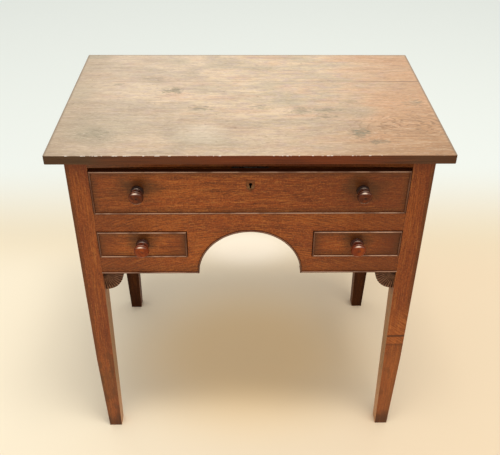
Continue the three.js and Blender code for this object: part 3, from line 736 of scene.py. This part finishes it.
@made_once
def knob_wood(kind):
    """Polished turned wood, with dirt in its grooves, painted shade on its neck, painted highlights on its
    crests and head, and a painted floor reflection on its lower rim.
    """
    look = settings().knobs
    wood = Wood("turned_knob_" + kind, look.brown if kind == "brown" else look.red)
    place = wood.local()
    figure = wood.noise((wood.x * 90, wood.y * 260, wood.z * 90), detail=3.0, bend=0.8)
    wood.streak(figure, 0.42, 0.66, 0.5, look.ring)
    wood.streak(figure, 0.42, 0.28, 0.25, look.glow)
    # Painted shade: the neck behind the head is darkened.
    wood.streak(place[1], -0.006, 0.002, 0.8, look.ring)
    wood.lay(wood.attribute("groove") * 0.85, look.ring)
    normal_x, normal_y, normal_z = wood.normal
    # Painted highlights: the rubbed colour is laid on the upward-facing crests and the head's back rim, where
    # the lamps would shine, over a little real rubbing.
    upward = wood.step(normal_z, 0.5, 0.97) * (0.3 + wood.step(abs(normal_x), 0.55, 0.1) * 0.7)
    rub = wood.noise((wood.x * 200, wood.y * 90, wood.z * 200))
    crest = wood.attribute("arris") ** 2.0 * wood.step(place[1], -0.014, -0.012)
    wood.lay(crest * upward * (0.65 + wood.step(rub, 0.3, 0.6) * 0.35), look.rubbed)
    back_rim = wood.attribute("arris") ** 3.0 * wood.step(place[1], -0.012, -0.014)
    wood.lay(back_rim * upward * 0.45, look.rubbed)
    facing = wood.step(normal_y, -0.75, -0.97)
    face = facing * wood.step(figure, 0.4, 0.62)
    wood.lay(face * (0.22 if kind == "brown" else 0.45), look.glow)
    centre = wood.spot(place[0] - 0.0005, place[2] - 0.0005, 0.0035, 0.003, (rub - 0.5) * 0.8)
    wood.lay(facing * centre * (0.75 if kind == "brown" else 0.35), look.ring)
    # Painted reflection of the floor on the head's lower rim.
    rim = wood.step(abs(normal_z + 0.6), 0.2, 0.05) * wood.step(normal_y, -0.6, -0.75)
    wood.lay(rim * wood.step(rub, 0.3, 0.6) * 0.3, look.rubbed)
    # Painted highlight: a glint on the head's front rim.
    head = wood.step(place[1], -0.012, -0.015)
    glint = wood.step(abs(normal_z - 0.56), 0.17, 0.07) * wood.step(normal_y, -0.6, -0.75) * head
    glint = glint * (0.1 + wood.step(abs(normal_x + 0.08), 0.34, 0.04) * 0.9)
    wood.lay(glint * 0.85, look.rubbed)
    return wood.finish(0.2 + figure * 0.12, figure, 0.00006, coat=0.22, coat_roughness=0.08, gloss=0.05)


@made_once
def dull_metal(kind):
    """Dull brass of the escutcheon, or dark steel of the lock."""
    brass = kind == "dull_brass"
    light, dark, rubbed = ("#7d6141", "#5a3519", "#8d7150") if brass else ("#6f675c", "#29241f", "#8f8982")
    wood = Wood(kind, light)
    spots = wood.noise((wood.x * 220, wood.y * 220, wood.z * 220), detail=4.0)
    wood.lay(wood.step(spots, 0.38, 0.66), dark)
    wood.lay(wood.attribute("arris") * 0.4, rubbed)
    if brass:
        # Painted shade: faces that do not face the front, the keyhole's walls and the plate's edges, are
        # darkened.
        wood.streak(abs(wood.normal[1]), 0.6, 0.3, 0.8, "#1a0f08")
        upper = wood.step(wood.local()[2] + (spots - 0.5) * 0.006, -0.004, 0.005)
        wood.lay(0.25 + upper * 0.5, "#7a4220")
    return wood.finish(0.46 + spots * 0.2, spots, 0.00008, metal=0.3 if brass else 0.85, gloss=0.2)


def piece_of(name, mesh, material, nodes):
    """A finished piece: it stands for its CAD nodes and rides on their body."""
    mesh.name = name
    mesh.materials.clear()
    mesh.materials.append(material)
    piece = bpy.data.objects.new(name, mesh)
    bpy.context.scene.collection.objects.link(piece)
    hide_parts(*nodes)
    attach(piece, BODIES[nodes[0]])


def board_number(node):
    """A number for each board, so that no two show the same grain."""
    return noise.cell(Vector((sum(ord(c) * (i + 3) for i, c in enumerate(node)) * 0.37, 0.5, 0.5))) * 2


def write_places(mesh, node):
    """Where each point lies about its board's middle, half the board's size, and the board's own number."""
    low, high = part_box(node)
    middle, half, board = (low + high) / 2, (high - low) / 2, board_number(node)
    kinds = {"place": "FLOAT_VECTOR", "half": "FLOAT_VECTOR", "board": "FLOAT"}
    for name, kind in kinds.items():
        mesh.attributes.new(name, kind, "POINT")
    place, reach, number = (mesh.attributes[name].data for name in kinds)
    for i, vertex in enumerate(mesh.vertices):
        place[i].vector = vertex.co - middle
        reach[i].vector = half
        number[i].value = board


def finished(node, mesh, material, smooth=None, suffix="oak"):
    """The piece of one CAD node, with smooth shading over edges up to an angle."""
    write_places(mesh, node)
    if smooth:
        mesh.shade_smooth()
        mesh.set_sharp_from_angle(angle=math.radians(smooth))
    piece_of(f"{node}_{suffix}", mesh, material, [node])


def mesh_of(shape, node):
    """The mesh of a shape that is done with."""
    mesh = bpy.data.meshes.new(node)
    shape.to_mesh(mesh)
    shape.free()
    return mesh


def merged(node):
    """A copy of a CAD solid with its loose triangles joined and its flat faces whole."""
    shape = bmesh.new()
    shape.from_mesh(frame["nodes"][node].data)
    bmesh.ops.remove_doubles(shape, verts=shape.verts, dist=WELD)
    bmesh.ops.dissolve_limit(shape, angle_limit=FLAT, verts=shape.verts, edges=shape.edges)
    return shape


def sharp_edges(shape, chosen):
    """Sharp convex edges, all of them or those that chosen accepts."""
    return [
        edge
        for edge in shape.edges
        if len(edge.link_faces) == 2
        and edge.calc_face_angle_signed() > SHARP
        and (chosen is None or chosen(edge))
    ]


def round_edges(shape, edges, radius, segments):
    """Rounds the edges, and marks the middle of each rounding for wear."""
    mark = shape.verts.layers.float.new("arris")
    made = bmesh.ops.bevel(
        shape, geom=edges, offset=radius, segments=segments, profile=0.5, affect="EDGES", clamp_overlap=True
    )
    rounding = set(made["faces"])
    for vertex in made["verts"]:
        if all(face in rounding for face in vertex.link_faces):
            vertex[mark] = 1.0


def dressed(node, material, arris, segments=2, chosen=None, smooth=None, reshape=None, suffix="oak"):
    """A CAD solid with rounded arrises, under its finish."""
    shape = merged(node)
    if reshape:
        reshape(shape)
    edges = sharp_edges(shape, chosen)
    if arris and edges:
        round_edges(shape, edges, arris, segments)
    finished(node, mesh_of(shape, node), material, smooth, suffix)


class LOWBOY_OT_top(bpy.types.Operator):
    """Make the two worn boards of the top"""

    bl_idname = "lowboy.top"
    bl_label = "Top"

    def execute(self, context):
        for node, side in (("top_front_board", 1), ("top_rear_board", 0)):
            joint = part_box(node)[side].y

            def off_the_joint(edge, joint=joint):
                return any(abs(v.co.y - joint) > CLOSE for v in edge.verts)

            dressed(node, top_oak(), settings().top.arris, chosen=off_the_joint)
        return {"FINISHED"}


class LOWBOY_OT_legs(bpy.types.Operator):
    """Make the four tapered legs"""

    bl_idname = "lowboy.legs"
    bl_label = "Legs"

    def execute(self, context):
        for place in ("front", "back"):
            for hand in ("left", "right"):
                dressed(f"leg_{place}_{hand}", leg_oak(place), settings().case.arris)
        return {"FINISHED"}


class LOWBOY_OT_case_boards(bpy.types.Operator):
    """Make the side boards and the back board"""

    bl_idname = "lowboy.case_boards"
    bl_label = "Case boards"

    def execute(self, context):
        for node, along in (("side_board_left", "y"), ("side_board_right", "y"), ("back_board", "x")):
            dressed(node, side_oak(along), settings().case.arris)
        return {"FINISHED"}


class LOWBOY_OT_front(bpy.types.Operator):
    """Make the top rail and the apron"""

    bl_idname = "lowboy.front"
    bl_label = "Rail and apron"

    def execute(self, context):
        look = settings().case
        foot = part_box("front_top_rail")[0].z

        def hollow(shape):
            for i in range(1, RAIL_CUTS):
                place = (2 * LEG_INNER * i / RAIL_CUTS - LEG_INNER, 0, 0)
                geometry = [*shape.verts, *shape.edges, *shape.faces]
                bmesh.ops.bisect_plane(shape, geom=geometry, plane_co=place, plane_no=(1, 0, 0))
            for vertex in shape.verts:
                if vertex.co.z < foot + CLOSE and abs(vertex.co.x) < LEG_INNER:
                    vertex.co.z += look.rail_hollow * (1 - (vertex.co.x / LEG_INNER) ** 2)

        dressed("front_top_rail", front_oak("rail"), look.arris / 2, reshape=hollow)
        dressed("front_apron", front_oak("apron"), look.arris / 2, 1)
        return {"FINISHED"}


class LOWBOY_OT_beads(bpy.types.Operator):
    """Make the cock beads of the drawers and of the apron's lower edge"""

    bl_idname = "lowboy.beads"
    bl_label = "Beads"

    def execute(self, context):
        for node in sorted(SLOTS):
            if SLOTS[node] != "bead_oak" or node == "arch_bead":
                continue
            upright = node.endswith(("bead_left", "bead_right")) and "drawer" in node
            along = 2 if upright else 0
            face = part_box(node)[0].y

            def crown(edge, along=along, face=face):
                first, second = (v.co for v in edge.verts)
                return abs(first[along] - second[along]) > LONG_EDGE and max(first.y, second.y) < face + CLOSE

            oak = bead_oak("z" if upright else "x")
            dressed(node, oak, settings().beads.crown, 4, chosen=crown, smooth=50)
        return {"FINISHED"}


def shape_tree(name, inputs):
    """A geometry node tree with inputs of these kinds: the tree, its bench and a wire from each input."""
    tree = bpy.data.node_groups.new(name, "GeometryNodeTree")
    tree.is_modifier = True
    inputs = {"Geometry": "Geometry", **inputs}
    for label, kind in inputs.items():
        tree.interface.new_socket(label, in_out="INPUT", socket_type="NodeSocket" + kind)
    tree.interface.new_socket("Geometry", in_out="OUTPUT", socket_type="NodeSocketGeometry")
    bench = Bench(tree)
    entry = bench.node("NodeGroupInput")
    return tree, bench, [entry.other(i) for i in range(len(inputs))]


def end_tree(bench, geometry, finish):
    """Realizes the geometry of a tree, under its finish."""
    real = bench.node("GeometryNodeRealizeInstances", None, {"Geometry": geometry})
    covered = bench.node("GeometryNodeSetMaterial", None, {"Geometry": real, "Material": finish})
    bench.node("NodeGroupOutput", None, {0: covered})


def moulding_tree(name):
    """Nodes that draw a moulding with a rounded crown along the curve they are given."""
    inputs = dict.fromkeys(("Width", "Depth", "Crown"), "Float")
    tree, bench, wires = shape_tree(name, {**inputs, "Finish": "Material"})
    path, width, depth, crown, finish = wires
    sides = {"Width": depth, "Height": width}
    outline = bench.node("GeometryNodeCurvePrimitiveQuadrilateral", {"mode": "RECTANGLE"}, sides)
    corners = {"Curve": outline, "Radius": crown, "Count": 4}
    rounded = bench.node("GeometryNodeFilletCurve", {"mode": "POLY"}, corners)
    parts = {"Curve": path, "Profile Curve": rounded, "Fill Caps": True}
    end_tree(bench, bench.node("GeometryNodeCurveToMesh", None, parts), finish)
    return tree


def run_nodes(source, tree, values):
    """The plain mesh that a node tree makes from an object. The object is removed."""
    bpy.context.scene.collection.objects.link(source)
    modifier = source.modifiers.new("shape", "NODES")
    modifier.node_group = tree
    sockets = {s.name: s.identifier for s in tree.interface.items_tree if s.in_out == "INPUT"}
    for label, value in values.items():
        modifier[sockets[label]] = value
    bpy.context.view_layer.update()
    graph = bpy.context.evaluated_depsgraph_get()
    mesh = bpy.data.meshes.new_from_object(source.evaluated_get(graph), depsgraph=graph)
    bpy.data.objects.remove(source)
    return mesh


class LOWBOY_OT_arch(bpy.types.Operator):
    """Make the bead that follows the arch"""

    bl_idname = "lowboy.arch"
    bl_label = "Arch bead"

    def execute(self, context):
        low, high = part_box("apron_bead_right")
        radius, middle = ARCH_RADIUS - (high.z - low.z) / 2, (ARCH_HIGH.y + ARCH_LOW.y) / 2
        line = bpy.data.curves.new("arch_path", "CURVE")
        line.dimensions = "3D"
        spline = line.splines.new("POLY")
        spline.points.add(ARCH_STEPS)
        for i, point in enumerate(spline.points):
            angle = math.pi * (1 - i / ARCH_STEPS)
            point.co = (radius * math.cos(angle), middle, SKIRT + radius * math.sin(angle), 1)
        values = {
            "Width": high.z - low.z,
            "Depth": ARCH_HIGH.y - ARCH_LOW.y,
            "Crown": settings().beads.crown,
            "Finish": bead_oak("x", True),
        }
        mesh = run_nodes(bpy.data.objects.new("arch_path", line), moulding_tree("moulded_bead"), values)
        finished("arch_bead", mesh, bead_oak("x", True), smooth=50)
        return {"FINISHED"}


def fan_tree(name):
    """Nodes that carve a quarter fan: flutes spread from one corner to a scalloped rim."""
    sizes = ("Width", "Height", "Thickness", "Flutes", "Depth", "Scallop", "Fullness", "Hand")
    inputs = {"Corner": "Vector", **dict.fromkeys(sizes, "Float"), "Finish": "Material"}
    tree, bench, wires = shape_tree(name, inputs)
    _, corner, width, height, thickness, flutes, depth, scallop, fullness, hand, finish = wires
    counts = {"Size X": 1.0, "Size Y": 1.0, "Vertices X": FAN_COLUMNS, "Vertices Y": FAN_ROWS}
    grid = bench.node("GeometryNodeMeshGrid", None, counts)
    x, y, _ = bench.split(bench.node("GeometryNodeInputPosition"))
    turn, reach = x + 0.5, y + 0.5
    angle = turn * (math.pi / 2)
    along, down = angle.math("COSINE").math("MAXIMUM", 0.0), angle.math("SINE").math("MAXIMUM", 0.0)
    full = (along ** (1 / fullness) + down ** (1 / fullness)) ** (fullness * -1)
    hollow = abs((turn * flutes * math.pi).math("SINE"))
    dip = (1 - hollow) * scallop
    sunk = hollow**0.6 * depth * bench.step(reach, 0.05, 0.8) + bench.step(reach, 0.9, 1.0) * RIM_SUNK
    start_x, start_y, start_z = bench.split(corner)
    across, fall = (width - dip) * full * along * reach, (height - dip) * full * down * reach
    place = bench.vector(start_x - hand * across, start_y + sunk, start_z - fall)
    ridge = (1 - hollow) ** 0.8 * bench.step(reach, 0.16, 0.4)
    marks = {"Geometry": grid, "Name": "ridge", "Value": ridge}
    kind = {"data_type": "FLOAT", "domain": "POINT"}
    marked = bench.node("GeometryNodeStoreNamedAttribute", kind, marks)
    carved = bench.node("GeometryNodeSetPosition", None, {"Geometry": marked, "Position": place})
    outward = bench.vector(0.0, 1.0, 0.0)
    push = {"Mesh": carved, "Offset": outward, "Offset Scale": thickness, "Individual": False}
    back = bench.node("GeometryNodeExtrudeMesh", {"mode": "FACES"}, push)
    x, _, z = bench.split(bench.node("GeometryNodeInputPosition"))
    rear = bench.vector(x, start_y + thickness, z)
    level = {"Geometry": back, "Selection": back.other(1), "Position": rear}
    flat = bench.node("GeometryNodeSetPosition", None, level)
    front = bench.node("GeometryNodeFlipFaces", None, {"Mesh": carved})
    joined = bench.node("GeometryNodeJoinGeometry", None, {"Geometry": flat})
    tree.links.new(front.socket, joined.socket.node.inputs[0])
    whole = bench.node("GeometryNodeMergeByDistance", None, {"Geometry": joined, "Distance": CLOSE})
    end_tree(bench, whole, finish)
    return tree


class LOWBOY_OT_brackets(bpy.types.Operator):
    """Make the two carved fan brackets"""

    bl_idname = "lowboy.brackets"
    bl_label = "Brackets"

    def execute(self, context):
        carving = settings().brackets
        tree = fan_tree("carved_fan")
        for word, hand in (("left", -1.0), ("right", 1.0)):
            node = f"bracket_{word}"
            low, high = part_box(node)
            values = {
                "Corner": (high.x if hand > 0 else low.x, low.y, high.z),
                "Width": high.x - low.x,
                "Height": high.z - low.z,
                "Thickness": high.y - low.y,
                "Flutes": float(carving.flutes),
                "Depth": carving.depth,
                "Scallop": carving.scallop,
                "Fullness": carving.fullness,
                "Hand": hand,
                "Finish": bracket_oak(),
            }
            blank = bpy.data.objects.new("fan", bpy.data.meshes.new("fan"))
            mesh = run_nodes(blank, tree, values)
            solid = bmesh.new()
            solid.from_mesh(mesh)
            bmesh.ops.dissolve_degenerate(solid, dist=SLIVER, edges=solid.edges)
            bmesh.ops.recalc_face_normals(solid, faces=solid.faces)
            solid.to_mesh(mesh)
            solid.free()
            finished(node, mesh, bracket_oak(), smooth=55)
        return {"FINISHED"}


class LOWBOY_OT_drawers(bpy.types.Operator):
    """Make the drawer fronts and the boxes behind them"""

    bl_idname = "lowboy.drawers"
    bl_label = "Drawers"

    def execute(self, context):
        arris = settings().case.arris
        for drawer in ("long_drawer", "small_drawer_left", "small_drawer_right"):
            dressed(f"{drawer}_front", front_oak(drawer.replace("_drawer_", "_")), arris / 2, 1)
            for part, along in (("side_left", "y"), ("side_right", "y"), ("back", "x"), ("bottom", "y")):
                dressed(f"{drawer}_{part}", inner_oak(along), arris, 1)
        return {"FINISHED"}


class LOWBOY_OT_inner_frame(bpy.types.Operator):
    """Make the runners, kickers, bearers and stops"""

    bl_idname = "lowboy.inner_frame"
    bl_label = "Inner frame"

    def execute(self, context):
        for part in ("long_runner", "kicker", "outer_bearer", "inner_bearer", "drawer_stop"):
            for word in ("left", "right"):
                dressed(f"{part}_{word}", inner_oak("y"), settings().case.arris, 1)
        return {"FINISHED"}


# Turning points of a knob's neck: share of its projection, share of its radius
NECK = ((0.0, 0.8), (0.06, 0.88), (0.17, 0.66), (0.29, 0.8), (0.41, 0.64), (0.76, 1.0))
NECK_STEPS, HEAD_STEPS = 8, 24
GROOVES, GROOVE_REACH = (0.17, 0.41), 0.045
# Crests of the turning, as shares of the projection, and how far each reaches: where the painted highlights
# go.
CRESTS, CREST_REACH = (0.29, 0.79), 0.06
DIMPLE_RADIUS, DIMPLE_DEPTH = 0.42, 0.06
SPIGOT = 0.36


def knob_profile():
    """Shares of radius and projection along a knob's outline, from the drawer's face to the head's middle."""
    outline = []
    for (start, first), (end, second) in zip(NECK, NECK[1:]):
        for i in range(NECK_STEPS):
            t = i / NECK_STEPS
            outline.append((first + (second - first) * t * t * (3 - 2 * t), start + (end - start) * t))
    for i in range(HEAD_STEPS + 1):
        angle = math.pi / 2 * i / HEAD_STEPS
        radius = math.cos(angle) if i < HEAD_STEPS else 0.0
        dip = DIMPLE_DEPTH * max(0.0, 1 - (radius / DIMPLE_RADIUS) ** 2) ** 2
        outline.append((radius, NECK[-1][0] + (1 - NECK[-1][0]) * math.sin(angle) ** 0.8 - dip))
    return outline


def nearness(share, places, reach):
    """1 at one of the places along a knob, and 0 from a reach away from them all."""
    return max(max(0.0, 1 - abs(share - place) / reach) for place in places)


def turned(node, radius, facets):
    """A knob with its spigot, marked where dirt sits, and on its crests where hands rub it and painted
    highlights go.
    """
    low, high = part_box(node)
    middle = middle_of(node)
    reach, back = FRONT_FACE - low.y, high.y - FRONT_FACE
    shape = bmesh.new()
    groove = shape.verts.layers.float.new("groove")
    # Crest marks: where the painted highlights and a little rubbing are laid.
    rubbed = shape.verts.layers.float.new("arris")
    stations = [(0.0, back), (SPIGOT, back), (SPIGOT, 0.0)]
    stations += [(share, -reach * out) for share, out in knob_profile()]
    rings = []
    for share, y in stations:
        size = radius * share
        rings.append([])
        for i in range(facets if share else 1):
            turn = 2 * math.pi * i / facets
            place = (middle.x + size * math.cos(turn), FRONT_FACE + y, middle.z + size * math.sin(turn))
            vertex = shape.verts.new(place)
            vertex[groove] = nearness(-y / reach, GROOVES, GROOVE_REACH)
            vertex[rubbed] = nearness(-y / reach, CRESTS, CREST_REACH)
            rings[-1].append(vertex)
    for first, second in zip(rings, rings[1:]):
        for i in range(facets):
            j = (i + 1) % facets
            corners = [first[i % len(first)], first[j % len(first)]]
            corners += [second[j % len(second)], second[i % len(second)]]
            shape.faces.new(tuple(dict.fromkeys(corners)))
    bmesh.ops.recalc_face_normals(shape, faces=shape.faces)
    return shape


class LOWBOY_OT_knobs(bpy.types.Operator):
    """Make the four turned knobs"""

    bl_idname = "lowboy.knobs"
    bl_label = "Knobs"

    def execute(self, context):
        look = settings().knobs
        slim, full = look.radius * look.slim, look.radius
        for node, kind, radius in (
            ("long_drawer_knob_left", "brown", slim),
            ("long_drawer_knob_right", "brown", slim),
            ("small_drawer_left_knob", "red", full),
            ("small_drawer_right_knob", "red", full),
        ):
            mesh = mesh_of(turned(node, radius, look.facets), node)
            finished(node, mesh, knob_wood(kind), smooth=70, suffix="wood")
        return {"FINISHED"}


class LOWBOY_OT_lock(bpy.types.Operator):
    """Make the escutcheon, the lock and its bolt"""

    bl_idname = "lowboy.lock"
    bl_label = "Lock"

    def execute(self, context):
        for node, kind, arris, segments in (
            ("escutcheon", "dull_brass", 0.0002, 1),
            ("lock_case", "dark_steel", 0.0003, 1),
            ("lock_bolt", "dark_steel", 0.0004, 2),
        ):
            dressed(node, dull_metal(kind), arris, segments, suffix="metal")
        return {"FINISHED"}


def lamp(name, place, size, power, warmth):
    """A soft square lamp, turned to the middle of the table."""
    light = bpy.data.lights.new(name, "AREA")
    light.size = size
    light.energy = power
    light.color = warmth[:3]
    holder = bpy.data.objects.new(name, light)
    holder.location = place
    holder.rotation_euler = (LAMP_AIM - Vector(place)).to_track_quat("-Z", "Y").to_euler()
    bpy.context.scene.collection.objects.link(holder)


def lay_floor(stage):
    """A plain pale floor, with painted warm bounce light under the table and a painted pool of light behind
    it, that fades into the backdrop.
    """
    ground = bpy.data.meshes.new("floor")
    corners = [(x * FLOOR_REACH, y * FLOOR_REACH, 0) for x, y in ((-1, -1), (1, -1), (1, 1), (-1, 1))]
    ground.from_pydata(corners, [], [(0, 1, 2, 3)])
    floor = bpy.data.objects.new("floor", ground)
    bpy.context.scene.collection.objects.link(floor)
    boards = Wood("pale_floor", stage.floor_left)
    x, y = boards.x, boards.y
    boards.lay(boards.step(x, -0.75, 0.55), stage.floor)
    boards.streak(y, 0.3, 0.6, 0.8, "#e6d8ba")
    # Painted light: a warm tint under the table stands in for light bounced off the wood.
    boards.lay(boards.spot(x, y - 0.02, 0.4, 0.34) * 0.66, "#eecb92")
    # Painted light: a brighter spot on the floor behind the table, seen through the arch.
    boards.lay(boards.spot(x, y - 0.47, 0.22, 0.13) * 0.85, "#fff3de")
    boards.lay(boards.step(y, 0.45, 1.0), stage.backdrop)
    ground.materials.append(boards.finish(0.9, gloss=0.0))


def light_world(stage):
    """An even white light. The camera and glossy rays see the pale backdrop instead."""
    world = bpy.data.worlds.new("studio")
    world.use_nodes = True
    world.node_tree.nodes.clear()
    sky = Bench(world.node_tree)
    ray = sky.node("ShaderNodeLightPath")
    seen = ray.other("Is Glossy Ray").math("MAXIMUM", ray.other("Is Transmission Ray"))
    seen = seen.math("MAXIMUM", ray.other("Is Camera Ray"))
    light = sky.node("ShaderNodeBackground", None, {"Color": (1.0, 1.0, 1.0, 1.0), "Strength": stage.sky})
    pale = sky.node("ShaderNodeBackground", None, {"Color": stage.backdrop, "Strength": 1.0})
    mixed = sky.node("ShaderNodeMixShader", None, {0: seen, 1: light, 2: pale})
    sky.node("ShaderNodeOutputWorld", None, {"Surface": mixed})
    bpy.context.scene.world = world


def set_camera(stage):
    """The photo's camera, solved from the corners of the top, the legs and the feet."""
    level_front = Vector((math.sin(CAMERA_YAW), math.cos(CAMERA_YAW), 0))
    level_right = Vector((math.cos(CAMERA_YAW), -math.sin(CAMERA_YAW), 0))
    down = Vector((0, 0, -1))
    forward = level_front * math.cos(CAMERA_PITCH) + down * math.sin(CAMERA_PITCH)
    upright = level_front * math.sin(CAMERA_PITCH) - down * math.cos(CAMERA_PITCH)
    right = level_right * math.cos(CAMERA_ROLL) + upright * math.sin(CAMERA_ROLL)
    up = upright * math.cos(CAMERA_ROLL) - level_right * math.sin(CAMERA_ROLL)
    camera = bpy.data.objects.new("camera", bpy.data.cameras.new("camera"))
    camera.data.lens = stage.lens
    camera.data.sensor_width = SENSOR_WIDTH
    turn = Matrix((right, up, -forward)).transposed().to_4x4()
    camera.matrix_world = Matrix.Translation(CAMERA_PLACE) @ turn
    bpy.context.scene.collection.objects.link(camera)
    bpy.context.scene.camera = camera


class LOWBOY_OT_stage(bpy.types.Operator):
    """Make the floor, the lamps and the camera"""

    bl_idname = "lowboy.stage"
    bl_label = "Stage"

    def execute(self, context):
        stage = settings().stage
        bpy.context.scene.view_settings.view_transform = "Standard"
        lay_floor(stage)
        light_world(stage)
        for x, share in ((-0.25, 0.45), (0.75, 0.55)):
            lamp("lamp_overhead", (x, -0.8, 5.0), 1.1, stage.lamp * share, tone("#fffaf2"))
        lamp("lamp_front", (0.8, -3.0, 1.7), 1.0, stage.lamp * 0.08, tone("#fff6ea"))
        set_camera(stage)
        return {"FINISHED"}


class LOWBOY_PT_pieces(bpy.types.Panel):
    """Lists the operators that make the lowboy"""

    bl_idname = "LOWBOY_PT_pieces"
    bl_label = "Oak Lowboy"
    bl_space_type = "VIEW_3D"
    bl_region_type = "UI"
    bl_category = "Lowboy"

    def draw(self, context):
        column = self.layout.column()
        for operator in OPERATORS:
            column.operator(operator.bl_idname)


GROUPS = (
    LOWBOY_PG_top,
    LOWBOY_PG_case,
    LOWBOY_PG_beads,
    LOWBOY_PG_brackets,
    LOWBOY_PG_knobs,
    LOWBOY_PG_stage,
    LOWBOY_PG_settings,
)
OPERATORS = (
    LOWBOY_OT_top,
    LOWBOY_OT_legs,
    LOWBOY_OT_case_boards,
    LOWBOY_OT_front,
    LOWBOY_OT_beads,
    LOWBOY_OT_arch,
    LOWBOY_OT_brackets,
    LOWBOY_OT_drawers,
    LOWBOY_OT_inner_frame,
    LOWBOY_OT_knobs,
    LOWBOY_OT_lock,
    LOWBOY_OT_stage,
)
CLASSES = (*GROUPS, *OPERATORS, LOWBOY_PT_pieces)


def register():
    for cls in CLASSES:
        bpy.utils.register_class(cls)
    bpy.types.Scene.lowboy = bpy.props.PointerProperty(type=LOWBOY_PG_settings)


def unregister():
    del bpy.types.Scene.lowboy
    for cls in reversed(CLASSES):
        bpy.utils.unregister_class(cls)


def main():
    """Registers the add-on and makes every piece in turn."""
    register()
    bpy.ops.lowboy.top()
    bpy.ops.lowboy.legs()
    bpy.ops.lowboy.case_boards()
    bpy.ops.lowboy.front()
    bpy.ops.lowboy.beads()
    bpy.ops.lowboy.arch()
    bpy.ops.lowboy.brackets()
    bpy.ops.lowboy.drawers()
    bpy.ops.lowboy.inner_frame()
    bpy.ops.lowboy.knobs()
    bpy.ops.lowboy.lock()
    bpy.ops.lowboy.stage()


if __name__ == "__main__":
    main()
